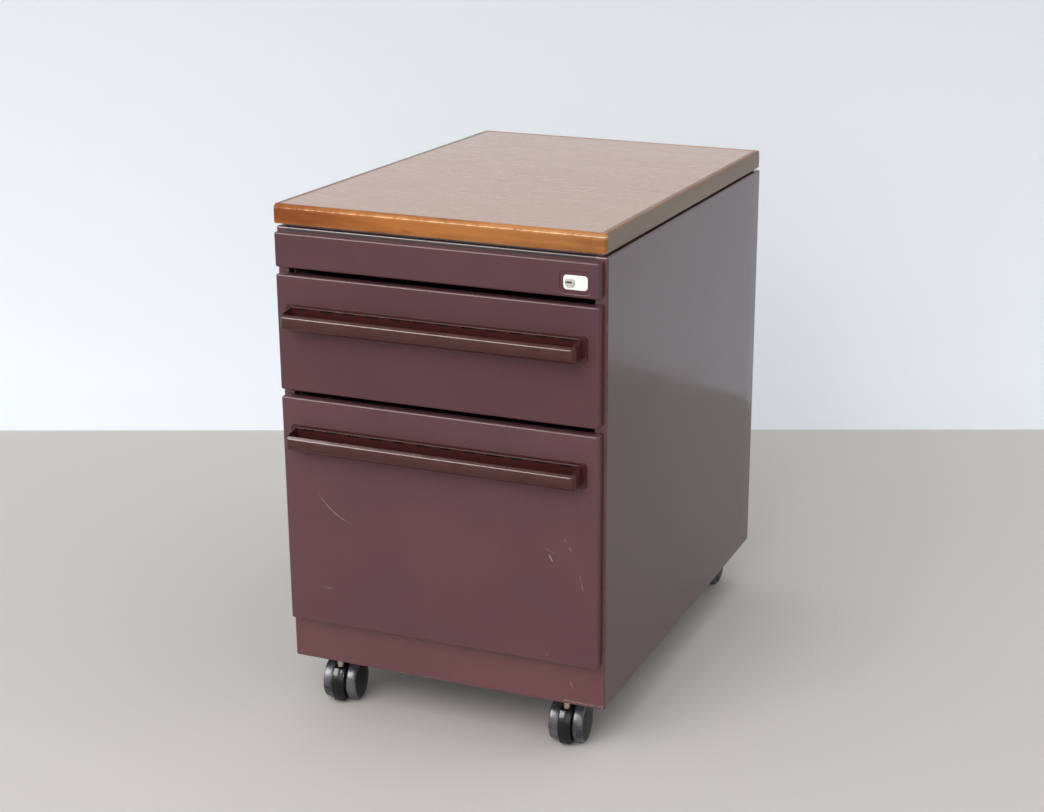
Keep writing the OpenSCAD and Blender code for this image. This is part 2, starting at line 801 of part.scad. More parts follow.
// A moulded tray with a pen trough in front and three bays behind, notched for the lock
module pencil_tray() {
    t = pencil_tray_wall;
    z0 = pencil_tray_z;
    z1 = pencil_tray_top;
    bay_y = pen_trough_d + t;
    bay_x = clip_bay_w / 2;
    notch_x = lock_x - notch_half;
    color([0.12, 0.12, 0.13]) centred() difference() {
        union() {
            span([-tray_half, front_back_y, z0], [tray_half, pencil_tray_d, z1]);
            for (side = [LEFT, RIGHT])
                side_span(side, tray_half - t, rib_half, rib_y, pencil_tray_d, rib_z, rib_z + pencil_rib_t);
        }
        difference() {
            span([t - tray_half, front_back_y + t, z0 + t], [tray_half - t, pen_trough_d, z1 + CUT_AWAY]);
            span([notch_x - t, front_back_y, z0], [tray_half, notch_d + t, z1 + 2 * CUT_AWAY]);
        }
        span([t - tray_half, bay_y, z0 + t], [-bay_x - t / 2, pencil_tray_d - t, z1 + CUT_AWAY]);
        span([t / 2 - bay_x, bay_y, z0 + t], [bay_x - t / 2, pencil_tray_d - t, z1 + CUT_AWAY]);
        span([bay_x + t / 2, bay_y, z0 + t], [tray_half - t, pencil_tray_d - t, z1 + CUT_AWAY]);
        span([notch_x, front_back_y - CUT_AWAY, z0 - CUT_AWAY],
             [open_half, notch_d, z1 + CUT_AWAY]);
    }
}

// A moulded trough pull: a flange against the drawer front and a bar with a low lip and a rounded nose
module handle(top_z) {
    w = handle_wall;
    rim = -handle_flange_h;
    lip = -handle_lip_drop;
    foot = handle_flange_h - handle_h;
    nose = handle_nose_r;
    bar_l = handle_l - 2 * handle_flange_w;
    color(HANDLE_BROWN) centred() translate([0, face_y, top_z]) difference() {
        union() {
            translate([0, 0, -handle_h / 2]) plate_xz(-handle_flange_t, 0)
                pill(handle_l, handle_h, handle_corner_r);
            intersection() {
                translate([-bar_l / 2, 0, 0]) rotate([90, 0, 90]) linear_extrude(bar_l) {
                    polygon([[0, rim], [-w, rim], [w - handle_out, lip], [-handle_out, lip - LIP_BEVEL],
                             [-handle_out, foot + nose], [nose - handle_out, foot], [0, foot]]);
                    translate([nose - handle_out, foot + nose]) circle(nose);
                }
                translate([0, 0, -2 * handle_h]) linear_extrude(3 * handle_h)
                    pill(bar_l, 2 * handle_out, handle_corner_r);
            }
            stud_places(0) bar_y_round(stud_d, 0, 0, -w / 2, 2 * front_sheet);
        }
        translate([w - bar_l / 2, 0, 0]) rotate([90, 0, 90]) linear_extrude(bar_l - 2 * w) {
            polygon([[-w, CUT_AWAY], [w - handle_out, CUT_AWAY], [w - handle_out, foot + nose],
                     [nose - handle_out, foot + w], [-w, foot + w]]);
            translate([nose - handle_out, foot + nose]) circle(nose - w);
        }
        for (i = [0:slot_count - 1])
            translate([(i - (slot_count - 1) / 2) * slot_pitch - slot_l / 2,
                       -w - CUT_AWAY, rim - slot_h - slot_drop])
                cube([slot_l, CUT_AWAY + slot_depth, slot_h]);
    }
}

module box_handle() {
    handle(box_z + box_front_h - box_handle_drop);
}

module file_handle() {
    handle(file_z + file_front_h - file_handle_drop);
}

// ---- lock ----

module lock_plate() {
    color("white") centred() difference() {
        translate([lock_x + lock_plate_offset, 0, lock_z])
            plate_xz(dish_floor_y - lock_plate_t, dish_floor_y)
                pill(lock_plate_w, lock_plate_h, PLATE_CORNER_R);
        bar_y_round(neck_d, lock_x, lock_z, face_y - CUT_AWAY, dish_floor_y + CUT_AWAY);
    }
}

module lock_housing() {
    color(STEEL) centred() difference() {
        union() {
            bar_y_round(neck_d, lock_x, lock_z, dish_floor_y - lock_plate_t - HEAD_PROUD, housing_y + 1);
            bar_y_round(housing_d, lock_x, lock_z, housing_y, cam_front_y - slide_clear);
        }
        bar_y_round(barrel_d + 2 * barrel_clear, lock_x, lock_z,
                    face_y - CUT_AWAY - HEAD_PROUD, cam_front_y);
    }
}

module lock_barrel() {
    key_l = barrel_d * KEY_L;
    y0 = dish_floor_y - lock_plate_t - HEAD_PROUD + slide_clear;
    color("gainsboro") centred() difference() {
        bar_y_round(barrel_d, lock_x, lock_z, y0, cam_front_y);
        span([lock_x - key_l / 2, y0 - CUT_AWAY, lock_z - KEY_W / 2],
             [lock_x + key_l / 2, y0 + KEY_DEPTH, lock_z + KEY_W / 2]);
    }
}

// The cam hangs down when unlocked, and a quarter turn brings it under the lock bar's top arm
module lock_cam() {
    color(STEEL) centred() {
        bar_y_round(cam_w, lock_x, lock_z, cam_front_y, cam_front_y + cam_t);
        span([lock_x - cam_w / 2, cam_front_y, lock_z - cam_reach],
             [lock_x + cam_w / 2, cam_front_y + cam_t, lock_z]);
    }
}

// A strip that rises behind the right front flange and puts an arm before each drawer's catch
module lock_bar() {
    edge_x = half_w - case_sheet - slide_clear;
    top_arm_z = lock_z + cam_w / 2 + slide_clear - bar_lift;
    box_arm_z = box_tray_top - catch_drop - catch_h - ARM_GAP - arm_h;
    file_arm_z = file_tray_top - catch_drop - catch_h - ARM_GAP - arm_h;
    color(STEEL) centred() {
        span([edge_x - bar_w, bar_y, file_arm_z - BAR_TAIL],
             [edge_x, bar_y + bar_t, top_arm_z + arm_h]);
        for (z = [top_arm_z, box_arm_z, file_arm_z])
            span([lock_x + cam_reach - ARM_BITE, bar_y, z], [edge_x, bar_y + bar_t, z + arm_h]);
    }
}

// ---- casters ----

// An inverted channel on the base pan with a socket for each stem
module caster_channel(corners) {
    t = channel_sheet;
    y = stem_at(corners[0])[1];
    y0 = max(y - channel_d / 2, 2 * case_sheet + slide_clear);
    y1 = y + channel_d / 2;
    half = open_half - base_lip_h;
    z1 = pan_floor + channel_h;
    color(STEEL) centred() difference() {
        union() {
            span([-half, y0, z1 - t], [half, y1, z1]);
            span([-half, y0, pan_floor], [half, y0 + t, z1]);
            span([-half, y1 - t, pan_floor], [half, y1, z1]);
            for (c = corners)
                translate([stem_at(c)[0], stem_at(c)[1], case_lift])
                    cylinder(d = socket_d, h = z1 - case_lift);
        }
        for (c = corners)
            translate([stem_at(c)[0], stem_at(c)[1], case_lift - CUT_AWAY])
                cylinder(d = shank_d, h = shank_l + CUT_AWAY);
    }
}

module front_caster_channel() {
    caster_channel(["front_left", "front_right"]);
}

module rear_caster_channel() {
    caster_channel(["rear_left", "rear_right"]);
}

// Each stem has a pin for its hood, a collar under the case and a shank in the channel's socket
module caster_stems() {
    color(STEEL) centred() for (c = CORNERS) translate([stem_at(c)[0], stem_at(c)[1], 0]) {
        translate([0, 0, stem_foot_z]) cylinder(d = stem_pin_d, h = case_lift - stem_foot_z);
        translate([0, 0, collar_z]) cylinder(d = collar_d, h = collar_t);
        translate([0, 0, case_lift]) cylinder(d = shank_d, h = shank_l);
    }
}

// Puts a caster's own frame in place: stem axis at x = y = 0, wheels behind it
module at_caster(corner) {
    centred() translate([stem_at(corner)[0], stem_at(corner)[1], 0]) rotate(turn_of(corner)) children();
}

// A round bar along X through the caster's axle
module axle_bar(d, x0, x1) {
    translate([x0, caster_trail, axle_z]) rotate([0, 90, 0]) cylinder(d = d, h = x1 - x0);
}

// The moulded body: a fender over the front and top of the wheels, cut down round the stem, with a toe
module caster_hood(corner) {
    body_r = axle_z - FLOOR_GAP;
    toe_reach = hood_r - toe_r + TOE_PROUD;
    toe_y = caster_trail - sqrt(toe_reach * toe_reach - HOOD_DROP * HOOD_DROP);
    shoulder_y = collar_d / 2 + 1;
    color([0.06, 0.06, 0.06]) at_caster(corner) difference() {
        union() {
            intersection() {
                union() {
                    axle_bar(2 * hood_r, -hood_w / 2, hood_w / 2);
                    axle_bar(2 * (hood_r + ridge_h), -ridge_w / 2, ridge_w / 2);
                }
                span([-hood_w, caster_trail - 2 * hood_r, axle_z - HOOD_DROP],
                     [hood_w, caster_trail, 2 * hood_r + axle_z]);
            }
            axle_bar(2 * body_r, -hood_w / 2, hood_w / 2);
            translate([-hood_w / 2, toe_y, axle_z - HOOD_DROP]) rotate([0, 90, 0])
                cylinder(r = toe_r, h = hood_w);
        }
        span([-hood_w, caster_trail - 2 * hood_r, shoulder_z], [hood_w, shoulder_y, 3 * hood_r]);
        translate([0, 0, stem_foot_z - slide_clear])
            cylinder(d = stem_pin_d + 2 * pin_clear, h = case_lift);
        axle_bar(axle_d, -hood_w, hood_w);
    }
}

module caster_axle(corner) {
    color(STEEL) at_caster(corner) axle_bar(axle_d, -axle_half, axle_half);
}

// A hollow-backed wheel with a rounded tread and a domed outer face
module caster_wheel(corner, side) {
    r = wheel_d / 2;
    e = tread_r;
    dome_r = r - e - DISC_SET;
    ball_r = (dome_r * dome_r + dome_h * dome_h) / (2 * dome_h);
    hollow_r = r - TREAD_RIM;
    color([0.1, 0.1, 0.1]) at_caster(corner) translate([0, caster_trail, axle_z])
        mirror([side < 0 ? 1 : 0, 0, 0]) rotate([0, 90, 0]) difference() {
            union() {
                translate([0, 0, wheel_in]) rotate_extrude() {
                    square([r - e, tread_w]);
                    translate([0, e]) square([r, tread_w - 2 * e]);
                    for (z = [e, tread_w - e]) translate([r - e, z]) circle(e);
                }
                intersection() {
                    translate([0, 0, wheel_out + dome_h - ball_r]) sphere(ball_r, $fn = 128);
                    translate([0, 0, wheel_out - e]) cylinder(r = dome_r, h = dome_h + e + CUT_AWAY);
                }
            }
            difference() {
                translate([0, 0, wheel_in - CUT_AWAY])
                    cylinder(r = hollow_r, h = wheel_hollow + CUT_AWAY);
                translate([0, 0, wheel_in - 2 * CUT_AWAY])
                    cylinder(d = hub_d, h = wheel_hollow + 2 * CUT_AWAY);
            }
            translate([0, 0, wheel_in - CUT_AWAY])
                cylinder(d = axle_d + 2 * pin_clear, h = axle_half + slide_clear - wheel_in + CUT_AWAY);
        }
}

left_side_panel();
right_side_panel();
back_panel();
front_rail();
plinth();
base_pan();
top_pan();
board_core();
front_lipping();
left_lipping();
right_lipping();
rear_lipping();
board_screws();
left_slide_frame();
right_slide_frame();
front_caster_channel();
rear_caster_channel();
caster_stems();
pencil_left_runner();
pencil_right_runner();
box_left_outer_slide();
box_right_outer_slide();
box_left_inner_slide();
box_right_inner_slide();
file_left_outer_slide();
file_right_outer_slide();
file_left_middle_slide();
file_right_middle_slide();
file_left_inner_slide();
file_right_inner_slide();
pencil_front();
pencil_tray();
box_front();
box_tray();
box_handle();
file_front();
file_tray();
hanging_file_rails();
file_handle();
lock_plate();
lock_housing();
lock_barrel();
lock_cam();
lock_bar();
for (c = CORNERS) {
    caster_hood(c);
    caster_axle(c);
    caster_wheel(c, LEFT);
    caster_wheel(c, RIGHT);
}
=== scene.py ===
import math

import bmesh
import bpy
from mathutils import Matrix, Vector


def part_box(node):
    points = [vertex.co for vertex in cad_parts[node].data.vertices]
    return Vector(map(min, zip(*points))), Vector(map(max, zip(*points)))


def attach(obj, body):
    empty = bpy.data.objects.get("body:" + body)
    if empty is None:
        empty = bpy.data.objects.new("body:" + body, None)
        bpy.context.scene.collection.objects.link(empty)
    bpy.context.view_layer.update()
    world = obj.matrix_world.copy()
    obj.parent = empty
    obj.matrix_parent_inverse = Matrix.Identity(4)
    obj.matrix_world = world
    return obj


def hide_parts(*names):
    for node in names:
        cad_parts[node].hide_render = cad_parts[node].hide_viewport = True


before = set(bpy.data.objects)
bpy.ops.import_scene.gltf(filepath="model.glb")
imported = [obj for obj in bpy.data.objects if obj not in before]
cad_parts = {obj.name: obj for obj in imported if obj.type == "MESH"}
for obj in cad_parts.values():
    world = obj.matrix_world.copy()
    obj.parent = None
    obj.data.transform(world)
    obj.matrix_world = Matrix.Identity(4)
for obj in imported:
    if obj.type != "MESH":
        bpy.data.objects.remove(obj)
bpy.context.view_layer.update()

mm = 0.001
scene = bpy.context.scene
scene.view_settings.view_transform = "Standard"


# ---- Camera ----
# The eye of someone standing a step back from the front right corner of the cabinet,
# a little above desk height, with a short telephoto lens.
eye = Vector((0.8603, -1.9862, 1.0163))
yaw = math.radians(19.875)
pitch = math.radians(17.286)
roll = math.radians(0.797)
look = Vector((-math.sin(yaw) * math.cos(pitch), math.cos(yaw) * math.cos(pitch), -math.sin(pitch)))
level = Vector((math.cos(yaw), math.sin(yaw), 0))
rise = level.cross(look)
across = math.cos(roll) * level + math.sin(roll) * rise
upward = math.cos(roll) * rise - math.sin(roll) * level

camera_data = bpy.data.cameras.new("camera")
camera_data.sensor_width = 36
camera_data.lens = 61.872
camera_data.shift_x = -0.1130
camera_data.shift_y = -0.01437
camera = bpy.data.objects.new("camera", camera_data)
scene.collection.objects.link(camera)
turn = Matrix((across, upward, -look)).transposed()
camera.matrix_world = Matrix.Translation(eye) @ turn.to_4x4()
scene.camera = camera


# ---- Floor and wall ----
# A pale poured floor and a pale painted wall half a metre behind the cabinet. The
# wall's colour darkens towards its top as painted shade. The wall is clear from behind,
# so that the cabinet can be seen from the back.
def add(tree, kind, sockets=None, **settings):
    """A shader node with its settings made and its sockets set or wired."""
    node = tree.nodes.new("ShaderNode" + kind)
    for key, value in settings.items():
        setattr(node, key, value)
    for key, value in (sockets or {}).items():
        if isinstance(value, bpy.types.NodeSocket):
            tree.links.new(value, node.inputs[key])
        else:
            node.inputs[key].default_value = value
    return node


def finish(name, roughness=0.5, **sockets):
    """An empty finish: its node tree and its Principled shader, wired to the output."""
    material = bpy.data.materials.new(name)
    material.use_nodes = True
    tree = material.node_tree
    tree.nodes.clear()
    shader = add(tree, "BsdfPrincipled", {"Roughness": roughness, **sockets})
    output = add(tree, "OutputMaterial")
    tree.links.new(shader.outputs["BSDF"], output.inputs["Surface"])
    return material, tree, shader


def stage_sheet(name, corners, material):
    mesh = bpy.data.meshes.new(name)
    mesh.from_pydata(corners, [], [tuple(range(len(corners)))])
    sheet = bpy.data.objects.new(name, mesh)
    sheet.data.materials.append(material)
    scene.collection.objects.link(sheet)
    return sheet


floor_finish, tree, shader = finish("pale_floor", roughness=0.75)
shader.inputs["Base Color"].default_value = (0.525, 0.502, 0.475, 1)
shader.inputs["Specular IOR Level"].default_value = 0.1
stage_sheet("floor", [(-9, -9, 0), (9, -9, 0), (9, 9, 0), (-9, 9, 0)], floor_finish)

wall_finish, tree, shader = finish("pale_wall", roughness=0.9)
rise_up = add(tree, "SeparateXYZ", {0: add(tree, "TexCoord").outputs["Object"]}).outputs[2]
wall_shade_share = add(tree, "MapRange", {0: rise_up, 1: 0.1, 2: 0.85}).outputs[0]
# painted shade: the wall is coloured paler at its foot and darker at its head
lit_wall_foot = (0.84, 0.89, 0.94, 1)
shaded_wall_head = (0.62, 0.65, 0.68, 1)
tone = add(tree, "Mix", {0: wall_shade_share, 6: lit_wall_foot, 7: shaded_wall_head}, data_type="RGBA").outputs[2]
tree.links.new(tone, shader.inputs["Base Color"])
clear = add(tree, "BsdfTransparent")
behind = add(tree, "NewGeometry").outputs["Backfacing"]
either = add(tree, "MixShader", {0: behind, 1: shader.outputs["BSDF"], 2: clear.outputs["BSDF"]})
tree.links.new(either.outputs["Shader"], tree.nodes["Material Output"].inputs["Surface"])
foot = Vector((-0.3525, 0.7902, 0))
reach = 7 * Vector((0.9235, 0.3835, 0))
height = Vector((0, 0, 4.5))
stage_sheet("wall", [foot - reach, foot + reach, foot + reach + height, foot - reach + height], wall_finish)


# ---- Lamps and sky ----
# Soft light: a pale sky all round, a wide soft window in front, and washes on
# the floor and the wall. A lower window and a small bulb only glint on glossy edges.
def lit(name, kind, place, target, watts, tint=(1, 1, 1), **shape):
    light = bpy.data.lights.new(name, kind)
    light.energy = watts
    light.color = tint
    for key, value in shape.items():
        setattr(light, key, value)
    lamp = bpy.data.objects.new(name, light)
    scene.collection.objects.link(lamp)
    aim = Vector(target) - Vector(place)
    lamp.matrix_world = Matrix.Translation(place) @ aim.to_track_quat("-Z", "Y").to_matrix().to_4x4()
    return lamp


lit("front_window", "AREA", (-0.3, -3.9, 2.2), (0, 0, 0.2), 66, (1.0, 0.99, 0.975),
    shape="RECTANGLE", size=4.6, size_y=2.8)
wall_lamp = lit("wall_lamp", "AREA", (1.5, 0.1, 2.8), (1.3, 1.4, 0.1), 12, (0.96, 0.98, 1.0),
                shape="RECTANGLE", size=2.0, size_y=1.0)
floor_lamp = lit("floor_lamp", "AREA", (-0.4, -2.5, 2.6), (-0.1, -1.0, 0), 38, (1.0, 0.985, 0.965),
                 shape="SQUARE", size=2.0)
low_window = lit("low_window", "AREA", (-1.36, -2.09, 1.89), (0, 0, 0.4), 125, (1.0, 0.985, 0.965),
                 shape="RECTANGLE", size=1.7, size_y=1.5)
bulb = lit("bulb", "POINT", (0.97, -1.92, 1.12), (0, 0, 0.35), 60, shadow_soft_size=0.03)
for lamp in (floor_lamp, wall_lamp):
    lamp.visible_glossy = False
for lamp in (low_window, bulb):
    lamp.visible_diffuse = False

sky = bpy.data.worlds.new("sky")
scene.world = sky
sky.use_nodes = True
tree = sky.node_tree
tree.nodes.clear()
seen = add(tree, "LightPath").outputs["Is Camera Ray"]
upright = add(tree, "SeparateXYZ", {0: add(tree, "TexCoord").outputs["Generated"]}).outputs[2]
strength = add(tree, "MapRange", {0: upright, 1: 0.62, 2: 0.85, 3: 0.96, 4: 0.70}).outputs[0]
even = add(tree, "Background", {"Color": (0.95, 0.97, 1.0, 1), "Strength": strength})
pale = add(tree, "Background", {"Color": (0.76, 0.80, 0.845, 1), "Strength": 1.0})
either = add(tree, "MixShader", {0: seen, 1: even.outputs[0], 2: pale.outputs[0]})
output = add(tree, "OutputWorld")
tree.links.new(either.outputs[0], output.inputs["Surface"])


# ---- Case panels ----
# Folded 1.2 mm sheet steel, spot welded, with a maroon brown powder coat that
# has a fine orange-peel grain. Its bends are painted paler, as wear and as painted highlight.
def group(name, inputs, outputs):
    """A new node group: its tree, its input sockets and its output node."""
    made = bpy.data.node_groups.new(name, "ShaderNodeTree")
    for label, kind, value in inputs:
        socket = made.interface.new_socket(label, in_out="INPUT", socket_type="NodeSocket" + kind)
        socket.default_value = value
    for label, kind in outputs:
        made.interface.new_socket(label, in_out="OUTPUT", socket_type="NodeSocket" + kind)
    return made, made.nodes.new("NodeGroupInput").outputs, made.nodes.new("NodeGroupOutput")


def place(tree, made, sockets=None):
    """A node group put into a finish, with its own values."""
    node = tree.nodes.new("ShaderNodeGroup")
    node.node_tree = made
    for key, value in (sockets or {}).items():
        if isinstance(value, bpy.types.NodeSocket):
            tree.links.new(value, node.inputs[key])
        else:
            node.inputs[key].default_value = value
    return node.outputs


def sums(tree, operation, *terms, clamp=False):
    node = add(tree, "Math", dict(enumerate(terms)), operation=operation, use_clamp=clamp)
    return node.outputs[0]


def ramp(tree, value, low, high, to_low=0.0, to_high=1.0):
    """A smooth step of a value from low to high."""
    node = add(tree, "MapRange", {0: value, 1: low, 2: high, 3: to_low, 4: to_high})
    node.interpolation_type = "SMOOTHSTEP"
    return node.outputs[0]


def blend(tree, share, first, second, kind="MIX"):
    """Two colours mixed."""
    node = add(tree, "Mix", {0: share, 6: first, 7: second}, data_type="RGBA", blend_type=kind)
    return node.outputs[2]


def noise(tree, where, scale, detail=3.0, rough=0.55, warp=0.0):
    sockets = {"Vector": where, "Scale": scale, "Detail": detail, "Roughness": rough, "Distortion": warp}
    return add(tree, "TexNoise", sockets).outputs["Fac"]


# The bends of folded sheet, painted paler as wear and painted highlight: where the surface faces between two
# of the main directions
bend_wear_and_highlight, given, out = group("bend_wear_and_highlight", [("Patchiness", "Float", 60.0)], [("Mask", "Float")])
tree = bend_wear_and_highlight
facing = add(tree, "TexCoord")
away = add(tree, "VectorMath", {0: facing.outputs["Normal"]}, operation="ABSOLUTE")
axes = add(tree, "SeparateXYZ", {0: away.outputs[0]}).outputs
widest = sums(tree, "MAXIMUM", sums(tree, "MAXIMUM", axes[0], axes[1]), axes[2])
bend = ramp(tree, widest, 0.97, 0.74)
patches = ramp(tree, noise(tree, facing.outputs["Object"], given["Patchiness"], 4.0, 0.7), 0.35, 0.75)
tree.links.new(sums(tree, "MULTIPLY", bend, patches), out.inputs["Mask"])

# Powder coat: a fine grain over a slow mottle, with a few pale specks
powder_coat, given, out = group(
    "powder_coat",
    [("Colour", "Color", (0.1, 0.05, 0.05, 1)), ("Worn and highlit colour", "Color", (0.3, 0.2, 0.2, 1)),
     ("Wear and highlight", "Float", 0.0), ("Grain size", "Float", 1000.0), ("Shine", "Float", 0.35)],
    [("Colour", "Color"), ("Roughness", "Float"), ("Height", "Float")])
tree = powder_coat
where = add(tree, "TexCoord").outputs["Object"]
grain = noise(tree, where, given["Grain size"], 2.0, 0.6)
mottle = noise(tree, where, 7.0, 4.0, 0.6)
peel = noise(tree, where, 260.0, 2.0, 0.5)
cells = add(tree, "TexVoronoi", {"Vector": where, "Scale": 95.0})
chance = add(tree, "SeparateColor", {0: cells.outputs["Color"]}).outputs[0]
near = ramp(tree, cells.outputs["Distance"], 0.09, 0.03)
speck = sums(tree, "MULTIPLY", near, sums(tree, "GREATER_THAN", chance, 0.965))
tone = sums(tree, "ADD", ramp(tree, mottle, 0.3, 0.7, 0.93, 1.05), ramp(tree, grain, 0.3, 0.7, -0.12, 0.12))
cells = add(tree, "TexVoronoi", {"Vector": where, "Scale": 40.0})
chance = add(tree, "SeparateColor", {0: cells.outputs["Color"]}).outputs[1]
dent = ramp(tree, cells.outputs["Distance"], 0.040, 0.022)
pit = sums(tree, "MULTIPLY", dent, sums(tree, "GREATER_THAN", chance, 0.72))
tone = sums(tree, "MULTIPLY", tone, ramp(tree, pit, 0.0, 1.0, 1.0, 0.35))
shade = add(tree, "CombineColor", {0: tone, 1: tone, 2: tone}).outputs[0]
coat = blend(tree, 1.0, given["Colour"], shade, "MULTIPLY")
share = sums(tree, "ADD", given["Wear and highlight"], sums(tree, "MULTIPLY", speck, 0.35), clamp=True)
tree.links.new(blend(tree, share, coat, given["Worn and highlit colour"]), out.inputs["Colour"])
shine = sums(tree, "ADD", given["Shine"], ramp(tree, mottle, 0.25, 0.75, -0.03, 0.04))
tree.links.new(shine, out.inputs["Roughness"])
height_of_grain = sums(tree, "ADD", grain, sums(tree, "MULTIPLY", peel, 0.7))
tree.links.new(height_of_grain, out.inputs["Height"])

maroon = (0.082, 0.036, 0.040, 1)
# the paler colour of bends and rounded edges: wear and painted highlight
worn_and_highlit_maroon = (0.20, 0.115, 0.115, 1)


def painted(name, colour, shine, grain_depth, wear_and_highlight=0.35):
    """A powder coated finish, painted paler along bends and rounded edges as wear and painted highlight."""
    material, tree, shader = finish(name)
    bends = place(tree, bend_wear_and_highlight, {"Patchiness": 55.0})["Mask"]
    rub_and_highlight = add(tree, "Attribute", attribute_name="rub_and_highlight").outputs["Fac"]
    # paler along rounded edges, painted as wear and as highlight
    rubbed_and_highlit = sums(tree, "MULTIPLY", rub_and_highlight, 0.15)
    worn_and_highlit = sums(tree, "ADD", sums(tree, "MULTIPLY", bends, wear_and_highlight), rubbed_and_highlit, clamp=True)
    values = {"Colour": colour, "Worn and highlit colour": worn_and_highlit_maroon, "Wear and highlight": worn_and_highlit, "Shine": shine}
    coat = place(tree, powder_coat, values)
    bump = add(tree, "Bump", {"Strength": 1.0, "Distance": grain_depth, "Height": coat["Height"]})
    tree.links.new(coat["Colour"], shader.inputs["Base Color"])
    tree.links.new(coat["Roughness"], shader.inputs["Roughness"])
    tree.links.new(bump.outputs[0], shader.inputs["Normal"])
    return material, tree, shader


def dress(node, material):
    """Gives a CAD node its finish."""
    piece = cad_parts[node]
    piece.data.materials.clear()
    piece.data.materials.append(material)
    return piece


# painted light: the plinth is coloured lighter and redder than the drawer fronts above it
lit_plinth_maroon = (0.115, 0.042, 0.046, 1)
# the case's bends are painted paler still, as wear and as a painted highlight along its corners
panel_paint, tree, shader = painted("case_panel_paint", (0.060, 0.028, 0.027, 1), 0.13, 0.004 * mm, wear_and_highlight=0.6)
shader.inputs["Specular IOR Level"].default_value = 0.45
# the flanges that face the front are coloured lighter and redder, the sides darker: painted light and painted
# shade
forward = add(tree, "SeparateXYZ", {0: add(tree, "TexCoord").outputs["Normal"]}).outputs[1]
coat = shader.inputs["Base Color"].links[0].from_socket
front_faces_painted_light = blend(tree, ramp(tree, forward, -0.8, -0.98), coat, lit_plinth_maroon)
tree.links.new(front_faces_painted_light, shader.inputs["Base Color"])
# the side panels roll in a little towards their back edges, which bends what they reflect
depth = add(tree, "SeparateXYZ", {0: add(tree, "TexCoord").outputs["Object"]}).outputs[1]
back_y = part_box("right_side_panel")[1].y
roll_from = back_y - 32 * mm
roll_to = back_y + 5 * mm
roll_in = ramp(tree, depth, roll_from, roll_to, 1.0, 0.0)
grained = shader.inputs["Normal"].links[0].from_socket
rolled = add(tree, "Bump", {"Strength": 1.0, "Distance": 0.5 * mm, "Height": roll_in, "Normal": grained})
tree.links.new(rolled.outputs[0], shader.inputs["Normal"])
for node in ("left_side_panel", "right_side_panel", "back_panel", "base_pan", "top_pan"):
    dress(node, panel_paint)
# the front rail lies in the board's shade, and is painted darker as painted shade
shaded_rail_paint = painted("front_rail_painted_shade", (0.030, 0.011, 0.010, 1), 0.30, 0.010 * mm, wear_and_highlight=0.1)[0]
dress("front_rail", shaded_rail_paint)


# ---- Top board ----
# Veneered chipboard with a solid lipping glued round it, stained orange brown and
# lacquered. The front's upper edge is chamfered, and its lower arris is rubbed pale.
def outline(points, radii, steps=6):
    """A closed outline through the points, with each corner rounded to its radius."""
    made = []
    count = len(points)
    for i, point in enumerate(points):
        here = Vector(point)
        back = (Vector(points[i - 1]) - here).normalized()
        on = (Vector(points[(i + 1) % count]) - here).normalized()
        if radii[i] <= 0:
            made.append(here)
            continue
        half = back.angle(on) / 2
        start = here + back * (radii[i] / math.tan(half))
        centre = here + (back + on).normalized() * (radii[i] / math.sin(half))
        first = start - centre
        last = here + on * (radii[i] / math.tan(half)) - centre
        sweep = first.angle(last)
        for k in range(steps + 1):
            t = k / steps
            a = math.sin((1 - t) * sweep) / math.sin(sweep)
            b = math.sin(t * sweep) / math.sin(sweep)
            made.append(centre + a * first + b * last)
    return made


def box_outline(x0, x1, y0, y1, inset, radius, steps=6):
    """A rectangle drawn in by an inset, with rounded corners."""
    x0, x1 = x0 + inset, x1 - inset
    y0, y1 = y0 + inset, y1 - inset
    corners = [(x0, y0), (x1, y0), (x1, y1), (x0, y1)]
    return outline(corners, [max(radius, 0.002 * mm)] * 4, steps)


def loft(rings, rub_and_highlight=None, ends=(True, True)):
    """A skin through rings of points, with a value for each ring of paler wear and painted highlight."""
    skin = bmesh.new()
    layer = skin.verts.layers.float.new("rub_and_highlight")
    rows = []
    for k, ring in enumerate(rings):
        row = [skin.verts.new(point) for point in ring]
        for vert in row:
            vert[layer] = rub_and_highlight[k] if rub_and_highlight else 0.0
        rows.append(row)
    for one, two in zip(rows, rows[1:]):
        for i in range(len(one)):
            j = (i + 1) % len(one)
            skin.faces.new((one[i], one[j], two[j], two[i]))
    if ends[0]:
        skin.faces.new(rows[0][::-1])
    if ends[1]:
        skin.faces.new(rows[-1])
    bmesh.ops.remove_doubles(skin, verts=skin.verts[:], dist=0.004 * mm)
    bmesh.ops.recalc_face_normals(skin, faces=skin.faces[:])
    return skin


def piece(name, skin, material, body, slot, *stands_for, crease=32):
    """A finished piece: smooth but for its creases, riding on its body."""
    mesh = bpy.data.meshes.new(name)
    skin.to_mesh(mesh)
    skin.free()
    for face in mesh.polygons:
        face.use_smooth = True
    mesh.set_sharp_from_angle(angle=math.radians(crease))
    made = bpy.data.objects.new(name, mesh)
    made.data.materials.append(material)
    scene.collection.objects.link(made)
    flat = made.modifiers.new("even_flats", "WEIGHTED_NORMAL")
    flat.keep_sharp = True
    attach(made, body)
    if stands_for:
        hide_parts(*stands_for)
    return made


